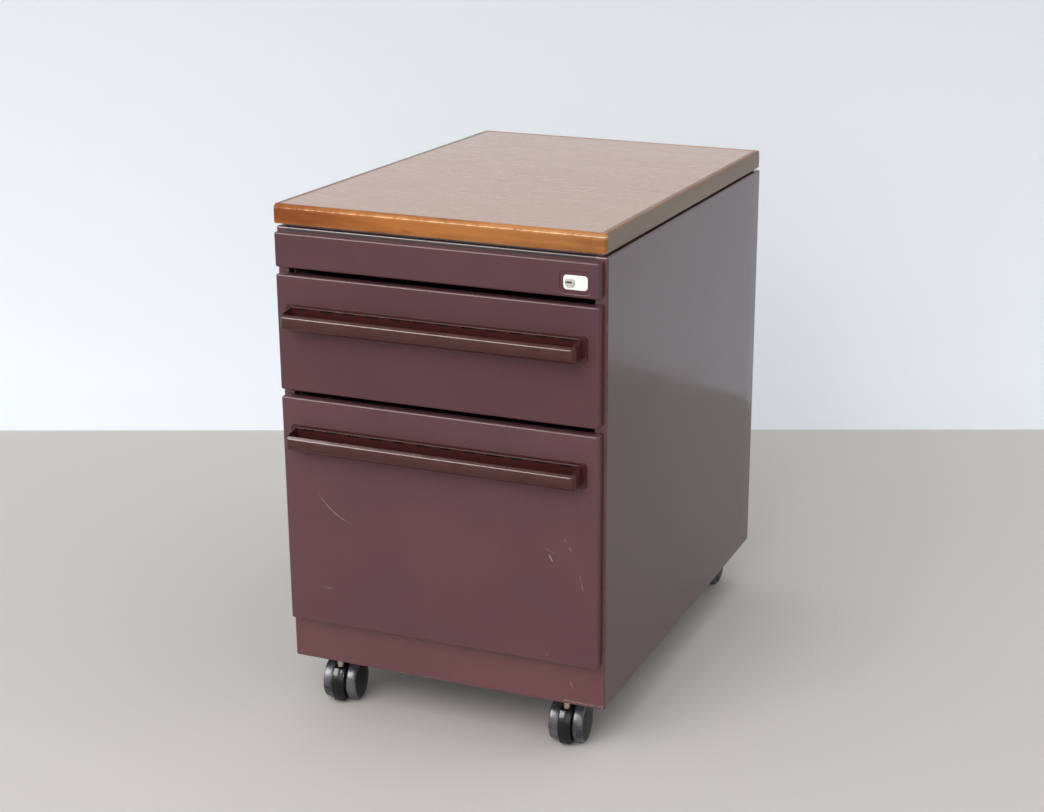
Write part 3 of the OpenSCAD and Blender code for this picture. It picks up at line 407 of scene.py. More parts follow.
# Wood: long fibres, slow bands and short dark flecks, drawn out along one direction
wood_figure, given, out = group(
    "wood_figure", [("Stretch", "Vector", (1.0, 1.0, 1.0))],
    [("Bands", "Float"), ("Fibres", "Float"), ("Flecks", "Float")])
tree = wood_figure
where = add(tree, "TexCoord").outputs["Object"]
drawn = add(tree, "VectorMath", {0: where, 1: given["Stretch"]}, operation="MULTIPLY").outputs[0]
tree.links.new(noise(tree, drawn, 3.2, 4.0, 0.6, 0.6), out.inputs["Bands"])
tree.links.new(noise(tree, drawn, 34.0, 4.0, 0.65), out.inputs["Fibres"])
wider = add(tree, "VectorMath", {0: drawn, 1: (2.2, 1.0, 1.0)}, operation="MULTIPLY").outputs[0]
flecks = ramp(tree, noise(tree, wider, 60.0, 2.0, 0.5), 0.60, 0.72)
tree.links.new(flecks, out.inputs["Flecks"])


def lacquered(name, light, dark, fleck, stretch, shine=0.27, rub_colour=(0.72, 0.47, 0.26, 1),
              share=(0.6, 0.4), **sockets):
    """Stained and lacquered wood."""
    material, tree, shader = finish(name, **sockets)
    figure = place(tree, wood_figure, {"Stretch": stretch})
    share = sums(tree, "ADD", ramp(tree, figure["Bands"], 0.3, 0.7, 0.0, share[0]),
                 ramp(tree, figure["Fibres"], 0.3, 0.7, 0.0, share[1]))
    colour = blend(tree, share, light, dark)
    colour = blend(tree, sums(tree, "MULTIPLY", figure["Flecks"], 0.55), colour, fleck)
    rub_and_highlight = add(tree, "Attribute", attribute_name="rub_and_highlight").outputs["Fac"]
    where = add(tree, "TexCoord").outputs["Object"]
    patch = ramp(tree, noise(tree, where, 45.0, 5.0, 0.75), 0.32, 0.66)
    colour = blend(tree, sums(tree, "MULTIPLY", rub_and_highlight, patch, clamp=True), colour, rub_colour)
    bump = add(tree, "Bump", {"Strength": 0.5, "Distance": 0.006 * mm, "Height": figure["Fibres"]})
    tree.links.new(colour, shader.inputs["Base Color"])
    gloss = ramp(tree, figure["Fibres"], 0.3, 0.7, shine - 0.01, shine + 0.02)
    tree.links.new(gloss, shader.inputs["Roughness"])
    tree.links.new(bump.outputs[0], shader.inputs["Normal"])
    return material


along_x = (0.12, 1.0, 1.0)
along_y = (1.0, 0.12, 1.0)
veneer = lacquered(
    "stained_veneer", (0.36, 0.190, 0.110, 1), (0.31, 0.153, 0.082, 1), (0.27, 0.132, 0.070, 1), along_x,
    share=(0.6, 0.2), **{"Coat Weight": 0.55, "Coat Roughness": 0.16})
front_wood = lacquered(
    "front_lipping_wood", (0.42, 0.18, 0.048, 1), (0.18, 0.062, 0.015, 1), (0.09, 0.030, 0.010, 1), along_x,
    0.42, (0.80, 0.56, 0.33, 1), (0.4, 0.8), **{"Specular IOR Level": 0.15})
# painted shade and painted reflection: the side lippings are coloured darker and greyer than the front
# lipping of the same wood
shaded_side_wood = lacquered(
    "side_lipping_shaded_wood", (0.19, 0.13, 0.08, 1), (0.13, 0.085, 0.052, 1), (0.08, 0.05, 0.03, 1), along_y,
    0.38, (0.26, 0.10, 0.030, 1), **{"Specular IOR Level": 0.35})
# the front lipping's colour is deeper and more saturated towards its left end, paler towards its right
tree = front_wood.node_tree
shader = tree.nodes["Principled BSDF"]
across_front = add(tree, "SeparateXYZ", {0: add(tree, "TexCoord").outputs["Object"]}).outputs[0]
deeper = {}
for channel, (left_end, right_end) in enumerate([(0.96, 1.16), (0.68, 1.16), (0.35, 1.20)]):
    share = {0: across_front, 1: -200 * mm, 2: 200 * mm, 3: left_end, 4: right_end}
    deeper[channel] = add(tree, "MapRange", share).outputs[0]
left_to_right_tone = add(tree, "CombineColor", deeper).outputs[0]
coat = shader.inputs["Base Color"].links[0].from_socket
tree.links.new(blend(tree, 1.0, coat, left_to_right_tone, "MULTIPLY"), shader.inputs["Base Color"])

board_parts = ("board_core", "front_lipping", "left_lipping", "right_lipping", "rear_lipping")
low = [min(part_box(n)[0][k] for n in board_parts) for k in range(3)]
top = [max(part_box(n)[1][k] for n in board_parts) for k in range(3)]
joint_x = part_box("left_lipping")[1].x - low[0]
joint_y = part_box("front_lipping")[1].y - low[1]
chamfer = 3.8 * mm
arris = top[2] - chamfer
board_corner_r = 4.2 * mm
board_edge = [  # inset, height, rub along the front and rub along the sides
    (1.20 * mm, low[2], 0.0, 0.0),
    (0.60 * mm, low[2] + 0.16 * mm, 0.1, 0.0),
    (0.16 * mm, low[2] + 0.60 * mm, 0.3, 0.0),
    (0.0, low[2] + 1.2 * mm, 0.1, 0.0),
    (0.0, low[2] + 4.0 * mm, 0.0, 0.0),
    (0.0, arris - 2.5 * mm, 0.0, 0.0),
    (0.0, arris - 0.45 * mm, 0.25, 0.0),
    (0.05 * mm, arris - 0.10 * mm, 1.0, 0.0),
    (0.22 * mm, arris + 0.18 * mm, 1.0, 0.0),
    (0.55 * mm, arris + 0.55 * mm, 0.3, 0.0),
    (chamfer - 0.5 * mm, top[2] - 0.5 * mm, 0.0, 0.8),
    (chamfer - 0.1 * mm, top[2] - 0.18 * mm, 0.1, 1.0),
    (chamfer + 0.35 * mm, top[2] - 0.04 * mm, 0.1, 1.0),
    (chamfer + 0.9 * mm, top[2], 0.0, 0.6)]


def board_blank(along_side=False):
    """The whole board, chamfered along the front and only eased along its other edges."""
    rings = []
    for inset, z, *_ in board_edge:
        spare = 0.7 * inset
        radius = board_corner_r - 0.6 * inset
        flat = box_outline(low[0] - spare, top[0] + spare, low[1], top[1] + spare, inset, radius)
        rings.append([(p.x, p.y, z) for p in flat])
    return loft(rings, [row[3 if along_side else 2] for row in board_edge])


def sawn(skin, *cuts):
    """Saws a blank: each cut is a point and the direction of the waste."""
    for point, waste in cuts:
        parts = skin.verts[:] + skin.edges[:] + skin.faces[:]
        cut = bmesh.ops.bisect_plane(skin, geom=parts, plane_co=point, plane_no=waste, clear_outer=True)
        edges = [e for e in cut["geom_cut"] if isinstance(e, bmesh.types.BMEdge)]
        bmesh.ops.edgeloop_fill(skin, edges=edges)
    return skin


left_cut = (low[0] + joint_x, 0, 0)
right_cut = (top[0] - joint_x, 0, 0)
front_cut = (0, low[1] + joint_y, 0)
rear_cut = (0, top[1] - joint_y, 0)
between = [(front_cut, (0, -1, 0)), (rear_cut, (0, 1, 0))]
skin = sawn(board_blank(), (left_cut, (-1, 0, 0)), (right_cut, (1, 0, 0)), *between)
piece("board_core_wood", skin, veneer, "case", "board_veneer", "board_core")
for end, cut, waste in (("front", front_cut, (0, 1, 0)), ("rear", rear_cut, (0, -1, 0))):
    skin = sawn(board_blank(), (cut, waste))
    piece(f"{end}_lipping_wood", skin, front_wood, "case", "board_lipping", f"{end}_lipping")
for side, cut, waste in (("left", left_cut, (1, 0, 0)), ("right", right_cut, (-1, 0, 0))):
    skin = sawn(board_blank(along_side=True), (cut, waste), *between)
    piece(f"{side}_lipping_wood", skin, shaded_side_wood, "case", "board_lipping", f"{side}_lipping")


# ---- Drawer slides, frames and other bare steel ----
# Zinc plated sheet and drawn steel, left bare inside the case: dull, slightly
# blue, with the drawing marks along it.
def bare_steel(name, colour, roughness, stretch, depth=0.01 * mm):
    material, tree, shader = finish(name, Metallic=1.0)
    where = add(tree, "TexCoord").outputs["Object"]
    drawn = add(tree, "VectorMath", {0: where, 1: stretch}, operation="MULTIPLY").outputs[0]
    marks = noise(tree, drawn, 400.0, 3.0, 0.6)
    bloom = noise(tree, where, 30.0, 5.0, 0.65)
    tone = ramp(tree, bloom, 0.3, 0.7, 0.72, 1.0)
    shade = add(tree, "CombineColor", {0: tone, 1: tone, 2: tone}).outputs[0]
    tree.links.new(blend(tree, 1.0, colour, shade, "MULTIPLY"), shader.inputs["Base Color"])
    dulled = ramp(tree, bloom, 0.3, 0.7, roughness - 0.06, roughness + 0.08)
    tree.links.new(dulled, shader.inputs["Roughness"])
    bump = add(tree, "Bump", {"Strength": 0.7, "Distance": depth, "Height": marks})
    tree.links.new(bump.outputs[0], shader.inputs["Normal"])
    return material


zinc = bare_steel("zinc_plated_steel", (0.56, 0.57, 0.58, 1), 0.42, (1.0, 1.0, 1.0))
slide_zinc = bare_steel("drawn_slide_steel", (0.62, 0.63, 0.65, 1), 0.33, (1.0, 0.03, 1.0))
stem_steel = bare_steel("caster_stem_steel", (0.60, 0.49, 0.42, 1), 0.24, (1.0, 1.0, 0.1))
for node in ("left_slide_frame", "right_slide_frame", "front_caster_channel", "rear_caster_channel",
             "board_screws", "hanging_file_rails", "lock_bar", "lock_cam"):
    dress(node, zinc)
for drawer in ("box", "file"):
    for side in ("left", "right"):
        for part in ("outer", "inner") if drawer == "box" else ("outer", "middle", "inner"):
            dress(f"{drawer}_{side}_{part}_slide", slide_zinc)
for corner in ("front_left", "front_right", "rear_left", "rear_right"):
    dress(f"{corner}_caster_axle", zinc)


# ---- Trays and runners ----
# The box and file trays are folded sheet in the same paint, a little glossier.
# The pencil tray and its runners are black moulded plastic.
def moulded(name, colour, roughness, grain_scale, depth, dust=0.0, dust_colour=(0.3, 0.29, 0.28, 1)):
    """Moulded plastic with a fine texture and a little dust."""
    material, tree, shader = finish(name)
    where = add(tree, "TexCoord").outputs["Object"]
    fine = noise(tree, where, grain_scale, 2.0, 0.5)
    slow = noise(tree, where, 40.0, 5.0, 0.7)
    rub_and_highlight = add(tree, "Attribute", attribute_name="rub_and_highlight").outputs["Fac"]
    lift = ramp(tree, slow, 0.35, 0.75, 0.0, dust)
    share = sums(tree, "ADD", lift, sums(tree, "MULTIPLY", rub_and_highlight, ramp(tree, slow, 0.3, 0.6)), clamp=True)
    tree.links.new(blend(tree, share, colour, dust_colour), shader.inputs["Base Color"])
    tree.links.new(ramp(tree, slow, 0.3, 0.7, roughness - 0.04, roughness + 0.06), shader.inputs["Roughness"])
    bump = add(tree, "Bump", {"Strength": 0.8, "Distance": depth, "Height": fine})
    tree.links.new(bump.outputs[0], shader.inputs["Normal"])
    return material


tray_paint = painted("tray_paint", (0.090, 0.045, 0.047, 1), 0.33, 0.008 * mm, wear_and_highlight=0.2)[0]
dress("box_tray", tray_paint)
dress("file_tray", tray_paint)
black_moulding = moulded("black_moulding", (0.022, 0.022, 0.024, 1), 0.45, 900.0, 0.02 * mm, dust=0.12)
for node in ("pencil_tray", "pencil_left_runner", "pencil_right_runner"):
    dress(node, black_moulding)


# ---- Drawer fronts ----
# Pressed from one sheet each, with rounded edges and ball corners, a hem turned in
# behind, and the case's powder coat in a coarser grain.
front_r = 2.5 * mm
sheet = 1.0 * mm
hem = 14.0 * mm


def pressed_front(node, closed=True):
    """The pan of a drawer front as rings from its face to the inside of its face."""
    lo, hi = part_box(node)
    rings = []
    rub_and_highlight = []

    def ring(inset, y, radius, worn_and_highlit=0.0):
        flat = box_outline(lo.x, hi.x, lo.z, hi.z, inset, radius)
        rings.append([(p.x, y, p.y) for p in flat])
        rub_and_highlight.append(worn_and_highlit)

    # the rounded edge is painted paler across its middle, as wear and as painted highlight
    for k in range(9):
        a = math.radians(90 * k / 8)
        back = front_r * (1 - math.cos(a))
        ring(front_r * (1 - math.sin(a)), lo.y + back, front_r * math.sin(a), math.sin(2 * a) * 0.5)
    ring(0, hi.y - 0.5 * mm, front_r)
    ring(0.15 * mm, hi.y - 0.15 * mm, front_r)
    ring(0.5 * mm, hi.y, front_r)
    ring(hem, hi.y, front_r)
    ring(hem, hi.y - sheet, front_r)
    ring(sheet, hi.y - sheet, front_r - sheet)
    inner_r = front_r - sheet
    for k in range(5):
        a = math.radians(90 - 90 * k / 4)
        back = sheet + inner_r * (1 - math.cos(a))
        ring(sheet + inner_r * (1 - math.sin(a)), lo.y + back, inner_r * math.sin(a))
    return loft(rings, rub_and_highlight, (closed, True))


# A scratch: a fine line between two points of the front, broken up along its length
scratch, given, out = group(
    "scratch",
    [("From", "Vector", (0.0, 0.0, 0.0)), ("To", "Vector", (0.0, 0.0, 0.1)), ("Width", "Float", 0.0005),
     ("Breaks", "Float", 0.5)],
    [("Mask", "Float")])
tree = scratch
where = add(tree, "TexCoord").outputs["Object"]
flat = add(tree, "VectorMath", {0: where, 1: (1.0, 0.0, 1.0)}, operation="MULTIPLY").outputs[0]
run = add(tree, "VectorMath", {0: given["To"], 1: given["From"]}, operation="SUBTRACT").outputs[0]
off = add(tree, "VectorMath", {0: flat, 1: given["From"]}, operation="SUBTRACT").outputs[0]
upper = add(tree, "VectorMath", {0: off, 1: run}, operation="DOT_PRODUCT").outputs["Value"]
lower = add(tree, "VectorMath", {0: run, 1: run}, operation="DOT_PRODUCT").outputs["Value"]
along = sums(tree, "DIVIDE", upper, lower, clamp=True)
foot_point = add(tree, "VectorMath", {0: run, "Scale": along}, operation="SCALE").outputs[0]
gap = add(tree, "VectorMath", {0: off, 1: foot_point}, operation="DISTANCE").outputs["Value"]
line = sums(tree, "SUBTRACT", 1.0, sums(tree, "DIVIDE", gap, given["Width"]), clamp=True)
skips = noise(tree, where, 240.0, 3.0, 0.6)
kept = ramp(tree, skips, sums(tree, "MULTIPLY", given["Breaks"], 0.7), 0.75)
tree.links.new(sums(tree, "MULTIPLY", line, kept), out.inputs["Mask"])


def scratched(tree, shader, marks, colour=(0.50, 0.42, 0.41, 1)):
    """Lays scratches over a painted finish: each is from, to, width, strength and breaks."""
    total = None
    for (x0, z0), (x1, z1), width, strength, breaks in marks:
        mask = place(tree, scratch, {"From": (x0 * mm, 0, z0 * mm), "To": (x1 * mm, 0, z1 * mm),
                                     "Width": width * mm, "Breaks": breaks})["Mask"]
        mask = sums(tree, "MULTIPLY", mask, strength)
        total = mask if total is None else sums(tree, "ADD", total, mask, clamp=True)
    base = shader.inputs["Base Color"].links[0].from_socket
    tree.links.new(blend(tree, total, base, colour), shader.inputs["Base Color"])


# the right side panel's flange is chipped at its lower corner
tree = panel_paint.node_tree
scratched(tree, tree.nodes["Principled BSDF"], [((196.6, 66.0), (197.0, 60.5), 1.0, 0.8, 0.1),
                                                ((186.0, 64.0), (194.0, 63.9), 0.8, 0.6, 0.4)])


def front_paint(name, colour):
    material, tree, shader = painted(name, colour, 0.34, 0.045 * mm, wear_and_highlight=0.05)
    shader.inputs["Specular IOR Level"].default_value = 0.24
    return material, tree, shader


box_front_paint = front_paint("box_front_paint", (0.082, 0.032, 0.037, 1))[0]
# painted light: the file front, lowest of the three, is coloured lighter than the pencil and box fronts
file_front_lit_paint, tree, shader = front_paint("file_front_lit_paint", (0.098, 0.042, 0.048, 1))
scratched(tree, shader, [
    ((-150.7, 277.8), (-140.6, 265.6), 0.7, 0.55, 0.35), ((-140.6, 265.6), (-130.3, 257.1), 0.9, 0.75, 0.25),
    ((-130.3, 257.1), (-121.2, 252.2), 0.8, 0.65, 0.3), ((-121.2, 252.2), (-110.9, 247.5), 0.7, 0.5, 0.4),
    ((138.1, 247.4), (141.7, 240.8), 0.8, 0.8, 0.2), ((132.1, 254.9), (150.1, 248.1), 0.6, 0.3, 0.5),
    ((157.2, 267.0), (164.4, 256.3), 2.2, 0.45, 0.75), ((164.4, 256.3), (171.5, 247.9), 2.4, 0.45, 0.75),
    ((175.2, 227.0), (178.8, 210.9), 0.8, 0.35, 0.4), ((-155.8, 160.9), (-139.5, 162.3), 1.8, 0.35, 0.6),
    ((134.4, 125.2), (135.0, 124.6), 0.9, 0.6, 0.0)])
plinth_paint, tree, shader = painted("plinth_paint", lit_plinth_maroon, 0.24, 0.010 * mm, wear_and_highlight=0.6)
# pale lines along the plinth's bottom edge, and a few marks on its face
scratched(tree, shader, [
    ((157.8, 89.3), (161.5, 81.2), 0.9, 0.35, 0.2), ((150.0, 64.6), (186.0, 64.0), 0.9, 0.8, 0.35),
    ((-60.0, 61.6), (20.0, 61.6), 0.7, 0.5, 0.6), ((-40.4, 108.0), (-37.0, 104.5), 0.5, 0.3, 0.4)])
dress("plinth", plinth_paint)
for drawer, paint in (("box", box_front_paint), ("file", file_front_lit_paint)):
    node = f"{drawer}_front"
    piece(f"{node}_pressing", pressed_front(node), paint, f"{drawer}_drawer", "drawer_paint", node)


# ---- Pencil drawer front ----
# The same pressing, with a shallow dish pushed in round the lock plate.
def lay(skin, row, worn_and_highlit=0.0):
    """Adds one ring of points to a skin."""
    layer = skin.verts.layers.float["rub_and_highlight"]
    made = [skin.verts.new(point) for point in row]
    for vert in made:
        vert[layer] = worn_and_highlit
    return made


def join(skin, one, two):
    for i in range(len(one)):
        j = (i + 1) % len(one)
        skin.faces.new((one[i], one[j], two[j], two[i]))


def loop_edges(skin, row):
    made = []
    for i in range(len(row)):
        two = (row[i], row[(i + 1) % len(row)])
        made.append(skin.edges.get(two) or skin.edges.new(two))
    return made


barrel_lo, barrel_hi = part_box("lock_barrel")
lock_x = (barrel_lo.x + barrel_hi.x) / 2
lock_z = (barrel_lo.z + barrel_hi.z) / 2
plate_lo, plate_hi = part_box("lock_plate")
plate_x = (plate_lo.x + plate_hi.x) / 2
plate_w = plate_hi.x - plate_lo.x
plate_h = plate_hi.z - plate_lo.z
face_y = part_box("pencil_front")[0].y
dish_y = plate_hi.y
margin = 4.5 * mm


def plate_ring(grow, y, radius, steps=8):
    """A rounded outline round the lock plate, grown by a distance."""
    across = (plate_x - plate_w / 2, plate_x + plate_w / 2)
    upright = (lock_z - plate_h / 2, lock_z + plate_h / 2)
    flat = box_outline(*across, *upright, -grow, radius, steps)
    return [(p.x, y, p.y) for p in flat]


skin = pressed_front("pencil_front", closed=False)
lo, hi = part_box("pencil_front")
rim = [v for v in skin.verts if abs(v.co.y - face_y) < 0.001 * mm]
rim_edges = [e for e in skin.edges if e.verts[0] in rim and e.verts[1] in rim and len(e.link_faces) == 1]
dish = [  # distance outside the plate, depth, and paler rim as wear and painted highlight
    (margin + 0.9 * mm, 0.0, 0.2),
    (margin + 0.45 * mm, 0.07 * mm, 0.6),
    (margin + 0.1 * mm, 0.28 * mm, 0.6),
    (margin - 0.1 * mm, 0.7 * mm, 0.2),
    (margin - 0.25 * mm, 1.2 * mm, 0.0),
    (margin - 0.5 * mm, 1.65 * mm, 0.0),
    (margin - 1.0 * mm, 1.9 * mm, 0.0),
    (margin - 1.8 * mm, dish_y - face_y, 0.0)]
rows = [lay(skin, plate_ring(grow, face_y + deep, 2 * mm + grow), worn_and_highlit) for grow, deep, worn_and_highlit in dish]
for one, two in zip(rows, rows[1:]):
    join(skin, one, two)
skin.faces.new(rows[-1])
bmesh.ops.triangle_fill(skin, edges=rim_edges + loop_edges(skin, rows[0]), use_beauty=True)
bmesh.ops.recalc_face_normals(skin, faces=skin.faces[:])
pencil_front_paint = front_paint("pencil_front_paint", (0.080, 0.031, 0.036, 1))[0]
piece("pencil_front_pressing", skin, pencil_front_paint, "pencil_drawer", "drawer_paint", "pencil_front")


# ---- Handles ----
# One moulding each in glossy red brown plastic: a flange, a trough to hook the
# fingers in, and a bar with a rounded nose. Studs behind clip into the front.
handle_gloss = moulded("handle_moulding", (0.050, 0.0125, 0.0125, 1), 0.13, 500.0, 0.003 * mm,
                       dust=0.04, dust_colour=(0.16, 0.09, 0.085, 1))
handle_gloss.node_tree.nodes["Principled BSDF"].inputs["Specular IOR Level"].default_value = 0.32
# painted shade: a near-black finish for the insides of the handles' slots and of the keyway
slot_shade = moulded("handle_slot_shade", (0.004, 0.002, 0.002, 1), 0.6, 500.0, 0.003 * mm)
slot_shade.node_tree.nodes["Principled BSDF"].inputs["Specular IOR Level"].default_value = 0.1
slot_count = 12
slot_pitch = 29 * mm
slot_half = 7 * mm


def handle_skin(node):
    """The bar and trough lofted along the drawer, with the slots pushed into its back wall."""
    lo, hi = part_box(node)
    face = lo.y + 26 * mm
    crown = hi.z
    wall = 3.5 * mm
    bar_end = (hi.x - lo.x) / 2 - 5 * mm
    well_end = bar_end - wall
    points = [(0, -2.8), (-3.5, -2.8), (-3.5, -3.3), (-3.5, -5.3), (-3.5, -22.7), (-22.5, -22.7),
              (-22.5, -6.0), (-26, -10), (-26, -26.2), (0, -26.2)]
    radii = [0, 0.25, 0, 0, 2.5, 4.5, 0.5, 2.6, 8, 0]
    profile = outline([(y * mm, z * mm) for y, z in points], [r * mm for r in radii], 7)

    def upper(y):
        """The height of the trough's rim, which falls from its back wall to its lip."""
        if y > -3.5 * mm:
            return -2.8 * mm
        if y > -22.5 * mm:
            return -2.8 * mm + (y + 3.5 * mm) * 3.2 / 19
        return -6 * mm + (y + 22.5 * mm) * 4 / 3.5

    def section(x):
        over = max(0.0, abs(x) - (bar_end - 5.5 * mm))
        front = -20.5 * mm - math.sqrt(max(0.0, (5.5 * mm) ** 2 - over ** 2))
        tip = max(0.0, abs(x) - (bar_end - 3.2 * mm))
        shave = 3.2 * mm - math.sqrt(max(0.0, (3.2 * mm) ** 2 - tip ** 2))
        made = []
        for p in profile:
            y, z = p.x, p.y
            if abs(x) > well_end + 0.02 * mm and -22.6 * mm < y < -3.4 * mm and z > -22.8 * mm:
                z = upper(y)
            top_z = upper(y) - shave
            y = max(y, front + shave / 3 if y < -1 * mm else y)
            z = min(max(z, -26.2 * mm + shave), top_z)
            made.append((x, face + y, crown + z))
        return made

    ends = [bar_end - d * mm for d in (0.0, 0.05, 0.2, 0.5, 0.9, 1.4, 2.0, 2.7)]
    ends += [well_end + 0.15 * mm, well_end, well_end - 1.0 * mm, well_end - 2.0 * mm]
    stations = [-x for x in ends] + ends
    slots = [(i - (slot_count - 1) / 2) * slot_pitch for i in range(slot_count)]
    for centre in slots:
        stations += [centre - slot_half, centre + slot_half]
    skin = loft([section(x) for x in sorted(stations)])
    layer = skin.verts.layers.float["rub_and_highlight"]
    for vert in skin.verts:
        if vert.co.y < face - 25 * mm and -11.5 * mm < vert.co.z - crown < -8.5 * mm:
            vert[layer] = 0.12
    pockets = []
    for patch in skin.faces:
        c = patch.calc_center_median()
        on_wall = abs(c.y - (face - wall)) < 0.05 * mm and -5.3 * mm < c.z - crown < -3.3 * mm
        if on_wall and any(abs(c.x - centre) < slot_half * 0.9 for centre in slots):
            pockets.append(patch)
    for patch in bmesh.ops.extrude_discrete_faces(skin, faces=pockets)["faces"]:
        for vert in patch.verts:
            vert.co.y += 1.4 * mm
        # the slots' insides take the near-black finish, as painted shade
        for wall_face in [f for edge in patch.edges for f in edge.link_faces]:
            wall_face.material_index = 1
    return skin, face, crown


def flange_rings(lo, hi, face):
    rings = []
    for inset, y in ((0.0, face + 0.0), (0.0, face - 1.55 * mm), (0.05 * mm, face - 1.78 * mm),
                     (0.2 * mm, face - 1.94 * mm), (0.45 * mm, face - 2.0 * mm)):
        flat = box_outline(lo.x, hi.x, lo.z, hi.z, inset, 4 * mm - inset, 7)
        rings.append([(p.x, y, p.y) for p in flat])
    return rings


def merge(skin, other):
    """Puts another skin into this one."""
    spare = bpy.data.meshes.new("spare")
    other.to_mesh(spare)
    other.free()
    skin.from_mesh(spare)
    bpy.data.meshes.remove(spare)
    return skin


for drawer in ("box", "file"):
    node = f"{drawer}_handle"
    lo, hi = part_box(node)
    skin, face, crown = handle_skin(node)
    merge(skin, loft(flange_rings(lo, hi, face)))
    bmesh.ops.recalc_face_normals(skin, faces=skin.faces[:])
    moulding = piece(f"{node}_moulding", skin, handle_gloss, f"{drawer}_drawer", "handle_plastic", node)
    moulding.data.materials.append(slot_shade)


# ---- Lock ----
# A white moulded plate, a nickel plated housing and a barrel with its keyway.
def lathe(profile, centre, axis, steps=40, rub_and_highlight=None):
    """Turns a closed profile of (distance along the axis, radius) round an axis through a point."""
    rings = []
    for k in range(steps):
        a = 2 * math.pi * k / steps
        ring = []
        for run, radius in profile:
            c, s = radius * math.cos(a), radius * math.sin(a)
            offset = (run, c, s) if axis == "x" else (c, run, s) if axis == "y" else (c, s, run)
            ring.append(tuple(centre[i] + offset[i] for i in range(3)))
        rings.append(ring)
    rings.append(rings[0])
    skin = bmesh.new()
    layer = skin.verts.layers.float.new("rub_and_highlight")
    rows = []
    for ring in rings[:-1]:
        row = [skin.verts.new(point) for point in ring]
        for i, vert in enumerate(row):
            vert[layer] = rub_and_highlight[i] if rub_and_highlight else 0.0
        rows.append(row)
    rows.append(rows[0])
    for one, two in zip(rows, rows[1:]):
        for i in range(len(one)):
            j = (i + 1) % len(one)
            skin.faces.new((one[i], one[j], two[j], two[i]))
    bmesh.ops.remove_doubles(skin, verts=skin.verts[:], dist=0.004 * mm)
    for patch in [f for f in skin.faces if f.calc_area() < 1e-13]:
        skin.faces.remove(patch)
    bmesh.ops.recalc_face_normals(skin, faces=skin.faces[:])
    return skin


white_plate = moulded("white_plate_moulding", (0.80, 0.80, 0.78, 1), 0.28, 700.0, 0.004 * mm,
                      dust=0.05, dust_colour=(0.6, 0.58, 0.55, 1))
nickel = bare_steel("nickel_plate", (0.86, 0.84, 0.79, 1), 0.30, (1.0, 1.0, 1.0), 0.004 * mm)
skin = bmesh.new()
skin.verts.layers.float.new("rub_and_highlight")
front = plate_lo.y
rows = [lay(skin, plate_ring(-inset, y, 4 * mm - inset)) for inset, y in (
    (0.0, plate_hi.y), (0.0, front + 0.6 * mm), (0.08 * mm, front + 0.3 * mm), (0.3 * mm, front + 0.08 * mm),
    (0.7 * mm, front))]
for one, two in zip(rows, rows[1:]):
    join(skin, one, two)
neck_r = 6.0 * mm
hole = []
for k in range(32):
    a = 2 * math.pi * k / 32
    hole.append((lock_x + neck_r * math.cos(a), front, lock_z + neck_r * math.sin(a)))
bore = [lay(skin, hole), lay(skin, [(x, plate_hi.y, z) for x, _, z in hole])]
join(skin, bore[0], bore[1])
bmesh.ops.triangle_fill(skin, edges=loop_edges(skin, rows[-1]) + loop_edges(skin, bore[0]), use_beauty=True)
bmesh.ops.triangle_fill(skin, edges=loop_edges(skin, rows[0]) + loop_edges(skin, bore[1]), use_beauty=True)
bmesh.ops.recalc_face_normals(skin, faces=skin.faces[:])
piece("lock_plate_moulding", skin, white_plate, "pencil_drawer", "lock_plate_plastic", "lock_plate")

housing_lo, housing_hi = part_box("lock_housing")
shoulder = dish_y + sheet
housing = [  # place along the bore, radius in millimetres
    (housing_hi.y, 5.05), (housing_hi.y, 8.0), (shoulder, 8.0), (shoulder, 6.0),
    (housing_lo.y + 0.45 * mm, 6.0), (housing_lo.y + 0.12 * mm, 5.88), (housing_lo.y, 5.55),
    (housing_lo.y + 0.05 * mm, 5.2), (housing_lo.y + 0.3 * mm, 5.05)]
skin = lathe([(y, r * mm) for y, r in housing], (lock_x, 0, lock_z), "y")
piece("lock_housing_nickel", skin, nickel, "pencil_drawer", "lock_nickel", "lock_housing")

key_long = 3.1 * mm
key_wide = 1.0 * mm
key_x = lock_x - 1.0 * mm
barrel_r = 5.0 * mm
front = barrel_lo.y
back = barrel_hi.y
skin = bmesh.new()
skin.verts.layers.float.new("rub_and_highlight")


def circle(radius, y, steps=40):
    made = []
    for k in range(steps):
        a = 2 * math.pi * k / steps
        made.append((lock_x + radius * math.cos(a), y, lock_z + radius * math.sin(a)))
    return made


rows = [lay(skin, circle(r, y)) for r, y in (
    (barrel_r, back), (barrel_r, front + 0.35 * mm), (barrel_r - 0.12 * mm, front + 0.1 * mm),
    (barrel_r - 0.4 * mm, front))]
for one, two in zip(rows, rows[1:]):
    join(skin, one, two)
skin.faces.new(rows[0])
key = outline([(key_x - key_long, lock_z - key_wide), (key_x + key_long, lock_z - key_wide),
               (key_x + key_long, lock_z + key_wide), (key_x - key_long, lock_z + key_wide)],
              [0.6 * mm] * 4, 3)
deep = [lay(skin, [(p.x, y, p.y) for p in key]) for y in (front, front + 7 * mm)]
join(skin, deep[0], deep[1])
skin.faces.new(deep[1])
bmesh.ops.triangle_fill(skin, edges=loop_edges(skin, rows[-1]) + loop_edges(skin, deep[0]), use_beauty=True)
bmesh.ops.recalc_face_normals(skin, faces=skin.faces[:])
# the keyway's sides take the near-black finish, as painted shade
for patch in skin.faces:
    c = patch.calc_center_median()
    beside = abs(c.x - key_x) < key_long + 0.2 * mm and abs(c.z - lock_z) < key_wide + 0.1 * mm
    if beside and front + 0.05 * mm < c.y < back - 0.05 * mm:
        patch.material_index = 1
barrel = piece("lock_barrel_nickel", skin, nickel, "lock", "lock_nickel", "lock_barrel")
barrel.data.materials.append(slot_shade)


